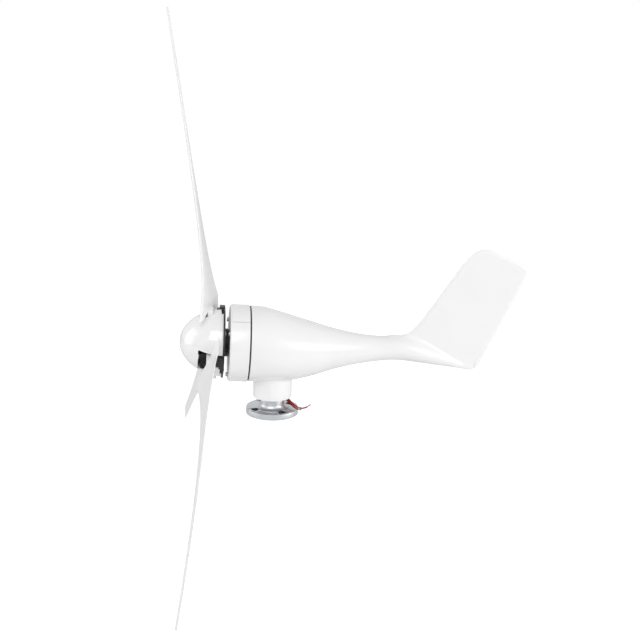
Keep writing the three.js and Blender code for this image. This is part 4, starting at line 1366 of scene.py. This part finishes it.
@dataclass
class NoseCone:
    """Glossy thin-walled nose cone, slotted from its rim for the blades, with screw bosses inside."""

    rim: float = -87.1
    length: float = 71.1
    radius: float = 57.8
    wall: float = 2.5
    fullness: float = 1.75          # power of the profile; more makes a blunter nose
    slot_front: float = -127.0
    slot_sides: tuple = (-22.0, 20.0)
    slot_corner: float = 1.6
    screw_boss: float = 4.6
    pilot: float = 2.3
    rings: int = 40

    def half_profile(self, length: float, radius: float) -> list:
        """Draws the nose's outline or that of its hollow.

        Args:
            length: Distance from the rim to the tip.
            radius: Radius at the rim.

        Returns:
            Pairs of place along the axis and radius, from the rim to the tip.
        """
        reach = [math.sin(i / self.rings * math.pi / 2) for i in range(self.rings + 1)]
        return [(self.rim - length * u, radius * math.sqrt(max(1 - u**self.fullness, 0))) for u in reach]

    def build(self, finish: Material) -> Object:
        """Turns the shell, cuts the slots and adds the bosses.

        Args:
            finish: Its material.

        Returns:
            The nose cone.
        """
        outer = self.half_profile(self.length, self.radius)
        inner = self.half_profile(self.length - self.wall, self.radius - self.wall)
        nose = turned("nose_cone_shell", [*reversed(inner), *outer], Axis.ROTOR, FINE_STEPS)
        for azimuth in BLADE_AZIMUTHS:
            leading, trailing = self.slot_sides
            slot = block("slot", (self.slot_front, leading, 12), (-80, trailing, 80))
            break_edges(slot, self.slot_corner, 4)
            carve(nose, move(slot, Matrix.Rotation(azimuth, 4, "X")))
        for at in screw_places():
            stem = rod("boss", Axis.ROTOR, self.screw_boss, -118, Hub.faces[0] - GAP, 32, at)
            filled = turned("inside", [(self.rim, 0), *self.half_profile(self.length - 1, self.radius - 1)],
                            Axis.ROTOR, 72)
            carve(stem, filled, how=Carve.KEEP)
            carve(stem, rod("pilot", Axis.ROTOR, self.pilot, -102, -80, 20, at))
            carve(nose, stem, how=Carve.ADD)
        break_edges(nose, 0.5, 3, 50)
        move(nose, rotor_frame())
        return settle(nose, Body.ROTOR, finish, "white_nylon", "nose_cone")


def hexagon(name: str, radius: float, ends: tuple, crown: list, steps: int) -> Object:
    """Makes a six-sided head or nut whose corners are turned down.

    Args:
        name: Name of the piece.
        radius: Radius of its corners.
        ends: Its front and its rear along the rotor axis.
        crown: Profile that it is turned down to.
        steps: Steps of that turning.

    Returns:
        The closed solid, around the level rotor axis.
    """
    head = rod(name, Axis.ROTOR, radius, *ends, 6)
    return carve(head, turned("crown", crown, Axis.ROTOR, steps), how=Carve.KEEP)


@dataclass
class Hub:
    """Black hub casting with three raised pads, and what clamps the blades and holds the hub on."""

    disc_radius: float = 60.0
    spigot: float = 54.6
    faces: tuple = (-90.0, -86.8, -84.0)        # front, step and rear of the disc
    boss_radius: float = 23.7
    pad: tuple = ((-97.4, -4.0, 18.0), (-84.0, 17.0, 61.4))
    pad_lug: float = -93.0          # behind this the pad stands out of the nose cone
    pad_flush: float = 56.6         # in front of it, it is cut back to this
    ends: tuple = (-104.0, -76.8)   # front and rear of the boss
    taper: tuple = (22.0, 25.0)     # its radius in front and at the disc
    bore: float = 8.8
    screw_hole: float = 2.4
    screw_tip: float = -100.0
    clamp: tuple = ((-19.0, 28.0), (13.0, 44.0))
    nut: tuple = (-117.0, -106.9)

    def build_plate(self, finish: Material) -> Object:
        """Turns the disc, adds the pads and drills it.

        Args:
            finish: Its material.

        Returns:
            The hub.
        """
        front, step, rear = self.faces
        (start, end), (narrow, wide) = self.ends, self.taper
        plate = turned("hub_casting", [
            (start, 0), (start, narrow), (front, wide), (front, self.spigot), (step, self.spigot),
            (step, self.disc_radius), (rear, self.disc_radius), (rear, self.boss_radius + 3),
            (rear + 1.2, self.boss_radius), (end, self.boss_radius), (end, 0)], Axis.ROTOR, FINE_STEPS)
        for azimuth in BLADE_AZIMUTHS:
            pad = block("pad", *self.pad)
            carve(pad, block("trim", (-120, -40, self.pad_flush), (self.pad_lug, 40, 80)))
            carve(plate, move(pad, Matrix.Rotation(azimuth, 4, "X")), how=Carve.ADD)
        carve(plate, rod("bore", Axis.ROTOR, self.bore, -110, -70, 40))
        break_edges(plate, 0.9, 3)
        for matrix in at_blades(*BOLT_PLACES):
            hole = rod("drill", Axis.ROTOR, BOLT_HOLE, -110, BOLT_END + 1, 24)
            carve(plate, move(hole, matrix))
        drill(plate, Axis.ROTOR, self.screw_hole, (front - 6, rear + 2), 24, screw_places())
        move(plate, rotor_frame())
        return settle(plate, Body.ROTOR, finish, "black_cast", "hub_plate")

    def build_clamps(self, finish: Material) -> None:
        """Makes one clamp plate with rounded corners and copies it to the three seats.

        Args:
            finish: Material of the clamps.
        """
        back = TANG_FRONT - GAP
        low, high = self.clamp
        clamp = block("clamp_plate", (back - CLAMP_THICKNESS, *low), (back, *high))
        drill(break_edges(clamp, 0.9, 3), Axis.ROTOR, BOLT_HOLE, (-130, -100), 24, BOLT_PLACES)
        place_copies(clamp, "blade_clamp_plate", at_blades((0, 0)), Body.ROTOR, finish, "blade_clamp",
                     "black_cast")

    def build_bolts(self, finish: Material) -> None:
        """Makes one flanged hexagon bolt and copies it to its six places.

        Args:
            finish: Material of the bolts.
        """
        seat, shank, end = TANG_FRONT - CLAMP_THICKNESS - 2 * GAP, 3.1, BOLT_END
        top = seat - 3.6
        bolt = hexagon("hexagon_bolt", 5.4, (top, seat - 0.7),
                       [(top, 0), (top, 4.2), (seat - 3.0, 5.5), (seat, 5.5), (seat, 0)], 40)
        flange = turned("flange", [(seat - 1.3, 0), (seat - 1.3, 5.0), (seat - 0.8, 6.2), (seat - 0.1, 6.3),
                                   (seat, 6.1), (seat, shank), (end - 1, shank), (end, shank - 0.7),
                                   (end, 0)], Axis.ROTOR, 40)
        carve(bolt, flange, how=Carve.ADD)
        carve(bolt, turned("dimple", [(seat - 4, 0), (seat - 4, 2.6), (seat - 3.2, 2.2), (seat - 3.2, 0)],
                           Axis.ROTOR, 24))
        break_edges(bolt, 0.2, 2)
        place_copies(bolt, "blade_hexagon_bolt", at_blades(*BOLT_PLACES), Body.ROTOR, finish, "blade_bolt")

    def build_screws(self, finish: Material) -> None:
        """Makes one pan-head nose screw with a cross recess and copies it to its three places.

        Args:
            finish: Material of the screws.
        """
        head = self.faces[2] + 0.3
        screw = turned("pan_screw", [(head + 2.2, 0), (head + 2.1, 1.6), (head + 1.6, 3.1), (head + 0.8, 3.9),
                                     (head, 4.0), (head, 1.9), (self.screw_tip, 1.9), (self.screw_tip, 0)],
                       Axis.ROTOR, 32)
        for low, high in (((head + 1.1, -1.9, -0.4), (head + 4, 1.9, 0.4)),
                          ((head + 1.1, -0.4, -1.9), (head + 4, 0.4, 1.9))):
            carve(screw, block("recess", low, high))
        place_copies(screw, "nose_pan_screw", at_places(screw_places()), Body.ROTOR, finish, "nose_screw")

    def build_nut(self, finish: Material) -> Object:
        """Makes the chamfered hub nut.

        Args:
            finish: Its material.

        Returns:
            The nut.
        """
        front, rear = self.nut
        nut = hexagon("hub_hexagon_nut", 13.9, self.nut,
                      [(front, 0), (front, 11.6), (front + 1.4, 14.2), (rear - 1.4, 14.2), (rear, 11.6),
                       (rear, 0)], 64)
        carve(nut, turned("thread", [(-118, 0), (-118, 9.6), (-116, 8.3), (-105, 8.3), (-105, 0)],
                          Axis.ROTOR, 48))
        break_edges(nut, 0.25, 2)
        move(nut, rotor_frame())
        return settle(nut, Body.ROTOR, finish, "steel", "hub_nut")

    def build(self, black: Material, oxide: Material, steel: Material) -> None:
        """Builds the plate, the clamps and every fastener.

        Args:
            black: Material of the plate.
            oxide: Material of the clamps and their bolts.
            steel: Material of the screws and the nut.
        """
        self.build_plate(black)
        self.build_clamps(oxide)
        self.build_bolts(oxide)
        self.build_screws(steel)
        self.build_nut(steel)


@dataclass
class Blade:
    """Twisted, tapered blade that leans forward, with a narrow tang for the hub."""

    number: int
    azimuth: float
    lean: float                     # how far the tip stands forward of the root
    bend: float                     # 1 is a straight lean, more bends towards the tip
    tip: float = 536.5
    root: float = 44.0
    bulge: float = 75.0             # radius where the wide root ends
    root_arc: float = 59.8          # radius that the root is hollowed to, around the nose cone
    root_x: float = -110.4
    # Sums of parts, each of which fades outwards over its own distance.
    twist: tuple = ((1.0, math.inf), (14.0, 148.0), (3.0, 25.0))       # in degrees
    chord: tuple = ((26.0, math.inf), (64.0, 165.0))
    thickness: tuple = ((3.0, math.inf), (6.0, 200.0))
    sweep: tuple = ((4.0, 60.0),)
    chord_start: float = 80.0       # radius that the chord fades from; the others fade from the bulge
    bow: float = 9.0                # how far the middle of the blade is bowed towards its leading edge
    tip_corner: float = 7.0
    stations: int = 110
    side_points: int = 26
    tang_inner: float = 27.0
    tang_sides: tuple = (-21.3, 14.0)
    neck_outer: float = 62.0
    neck_rear: float = -105.0       # behind this the tang lies flush with the nose cone

    def section(self) -> np.ndarray:
        """Draws a closed aerofoil of unit chord and unit thickness.

        Returns:
            Pairs of thickness and chord; the chord runs from -0.5 at the leading edge to 0.5.
        """
        f = (1 - np.cos(np.linspace(0, math.pi, self.side_points))) / 2
        rise = 0.2969 * np.sqrt(f) - 0.126 * f - 0.3516 * f**2 + 0.2843 * f**3 - 0.1015 * f**4
        half = np.maximum(5 * rise, np.where(f > 0.5, 0.1, 0))
        half *= np.sqrt(np.clip(1 - (np.clip(f - 0.99, 0, 1) / 0.0101) ** 2, 0, 1))
        face = np.stack([-half, f - 0.5], axis=1)
        back = np.stack([half, f - 0.5], axis=1)[::-1]
        return np.concatenate([face, back[1:]])

    @staticmethod
    def faded(parts: tuple, past: float) -> float:
        """Sum of parts at a distance past the place that they fade from."""
        return sum(size * math.exp(-past / length) for size, length in parts)

    def build_wing(self) -> Object:
        """Rolls the wing from its sections, square at the tip with rounded corners.

        Returns:
            The closed wing.
        """
        section = self.section()
        radii = np.concatenate([np.linspace(self.root, self.tip - self.tip_corner, self.stations),
                                self.tip - self.tip_corner * np.linspace(1, 0, 14)[1:] ** 2])
        rows = []
        for radius in radii:
            past = max(0.0, radius - self.bulge)
            pitch = math.radians(self.faded(self.twist, past))
            chord = self.faded(self.chord, radius - self.chord_start)
            thickness = self.faded(self.thickness, past)
            sweep = self.faded(self.sweep, past) - self.bow * math.sin(math.pi * radius / self.tip)
            forward = self.lean * (past / (self.tip - self.bulge)) ** self.bend
            end = max(0.0, (radius - self.tip + self.tip_corner) / self.tip_corner)
            short = self.tip_corner * (1 - math.sqrt(max(1 - end * end, 0)))
            x = section[:, 0] * thickness * (1 - 0.75 * end**6)
            y = section[:, 1] * (chord - 1.5 * short)
            along = self.root_x - forward + x * math.cos(pitch) + y * math.sin(pitch)
            across = sweep - x * math.sin(pitch) + y * math.cos(pitch)
            rows.append(np.stack([along, across, radius + 0 * x], axis=1))
        return skin(f"blade_{self.number}_wing", np.array(rows))

    def build_tang(self) -> Object:
        """Makes the block in the nose cone's slot, stepped around the hub's pad.

        Returns:
            The tang.
        """
        leading, trailing = self.tang_sides
        low = (TANG_FRONT, leading, self.tang_inner)
        tang = block("tang", low, (Hub.pad[0][0] - GAP, trailing, self.neck_outer))
        beside = block("beside", low, (Hub.faces[0] - GAP, Hub.pad[0][1] - GAP, self.neck_outer))
        carve(tang, beside, how=Carve.ADD)
        nose = NoseCone()
        outline = [(nose.rim, 0), *nose.half_profile(nose.length, nose.radius)]
        flush = turned("flush", outline, Axis.ROTOR, FINE_STEPS)
        neck = rod("neck", Axis.ROTOR, self.neck_outer, TANG_FRONT - 1, self.neck_rear, 96)
        carve(tang, carve(flush, neck, how=Carve.ADD), how=Carve.KEEP)
        return break_edges(tang, 0.6, 2)

    def build(self, finish: Material) -> Object:
        """Hollows the wide root around the nose, adds the tang and drills it.

        Args:
            finish: Its material.

        Returns:
            The blade.
        """
        wing = self.build_wing()
        carve(wing, rod("hollow", Axis.ROTOR, self.root_arc, -220, 20, 96))
        carve(wing, self.build_tang(), how=Carve.ADD)
        drill(wing, Axis.ROTOR, BOLT_HOLE, (-130, -80), 24, BOLT_PLACES)
        move(wing, rotor_frame() @ Matrix.Rotation(self.azimuth, 4, "X"))
        return settle(wing, Body.ROTOR, finish, "white_nylon", f"blade_{self.number}")


# ---------------------------------------------------------------- inner works


@dataclass
class InnerWorks:
    """CAD nodes that keep their shape: bearings, alternator, shaft, slip rings and brushes."""

    finishes: tuple = (
        (("yaw_spindle", "main_shaft"), GROUND, "steel"),
        (("yaw_lower_inner_ring", "yaw_upper_inner_ring", "yaw_lower_outer_ring", "yaw_upper_outer_ring",
          "front_outer_ring", "rear_outer_ring", "front_inner_ring", "rear_inner_ring", "front_ball_set",
          "rear_ball_set", "yaw_lower_ball_set", "yaw_upper_ball_set"), GROUND, "steel"),
        (("spindle_nut", "hub_washer", "yaw_circlip"), ZINC, "steel"),
        (("slip_ring_1", "slip_ring_2", "slip_ring_3", "stator_winding"), COPPER, "copper"),
        (("slip_ring_drum", "brush_holder"), BLACK_NYLON, "black_plastic"),
        (("brush_1", "brush_2", "brush_3"), GRAPHITE, "carbon"),
        (("stator_core", "rotor_core"), LAMINATED, "lamination"),
        (("magnet_ring",), NICKEL, "magnet"),
        (("rear_bearing_plate",), TURNED_ALUMINIUM, "machined"),
    )

    def dress(self, made: dict) -> None:
        """Gives every kept node its finish.

        Args:
            made: Materials by the names of their finishes.
        """
        for names, finish, slot in self.finishes:
            for name in names:
                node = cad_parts[name]
                node.data.materials.clear()
                node.data.materials.append(made[finish.name])
                log.info("%s keeps its shape in %s", name, finish.name)


def main() -> None:
    """Builds the turbine in order: camera and leads, then each sub-assembly, then the studio."""
    logging.basicConfig(level=logging.INFO, format="%(message)s")
    finishes = (PAINT, ABS, NYLON, ENAMEL, TURNED_ALUMINIUM, HOLE_SHADE, ZINC, BLACK_OXIDE, GROUND, LAMINATED,
                COPPER, NICKEL, RUBBER, GRAPHITE, BLACK_NYLON, SHEATH, TINNED)
    made = {finish.name: finish.make() for finish in finishes}
    studio = Studio()
    studio.build_camera()
    Leads().build(made[SHEATH.name], made[TINNED.name])
    MastFlange().build(made[TURNED_ALUMINIUM.name], made[HOLE_SHADE.name], made[RUBBER.name])
    CastBody().build(made[PAINT.name])
    AlternatorShell().build(made[PAINT.name], made[RUBBER.name], made[ZINC.name])
    NoseCone().build(made[ABS.name])
    Hub().build(made[ENAMEL.name], made[BLACK_OXIDE.name], made[ZINC.name])
    for index, (lean, bend) in enumerate(((85, 1.07), (36, 1.44), (33, 1.44))):
        Blade(index + 1, BLADE_AZIMUTHS[index], lean, bend).build(made[NYLON.name])
    InnerWorks().dress(made)
    studio.build()


if __name__ == "__main__":
    main()
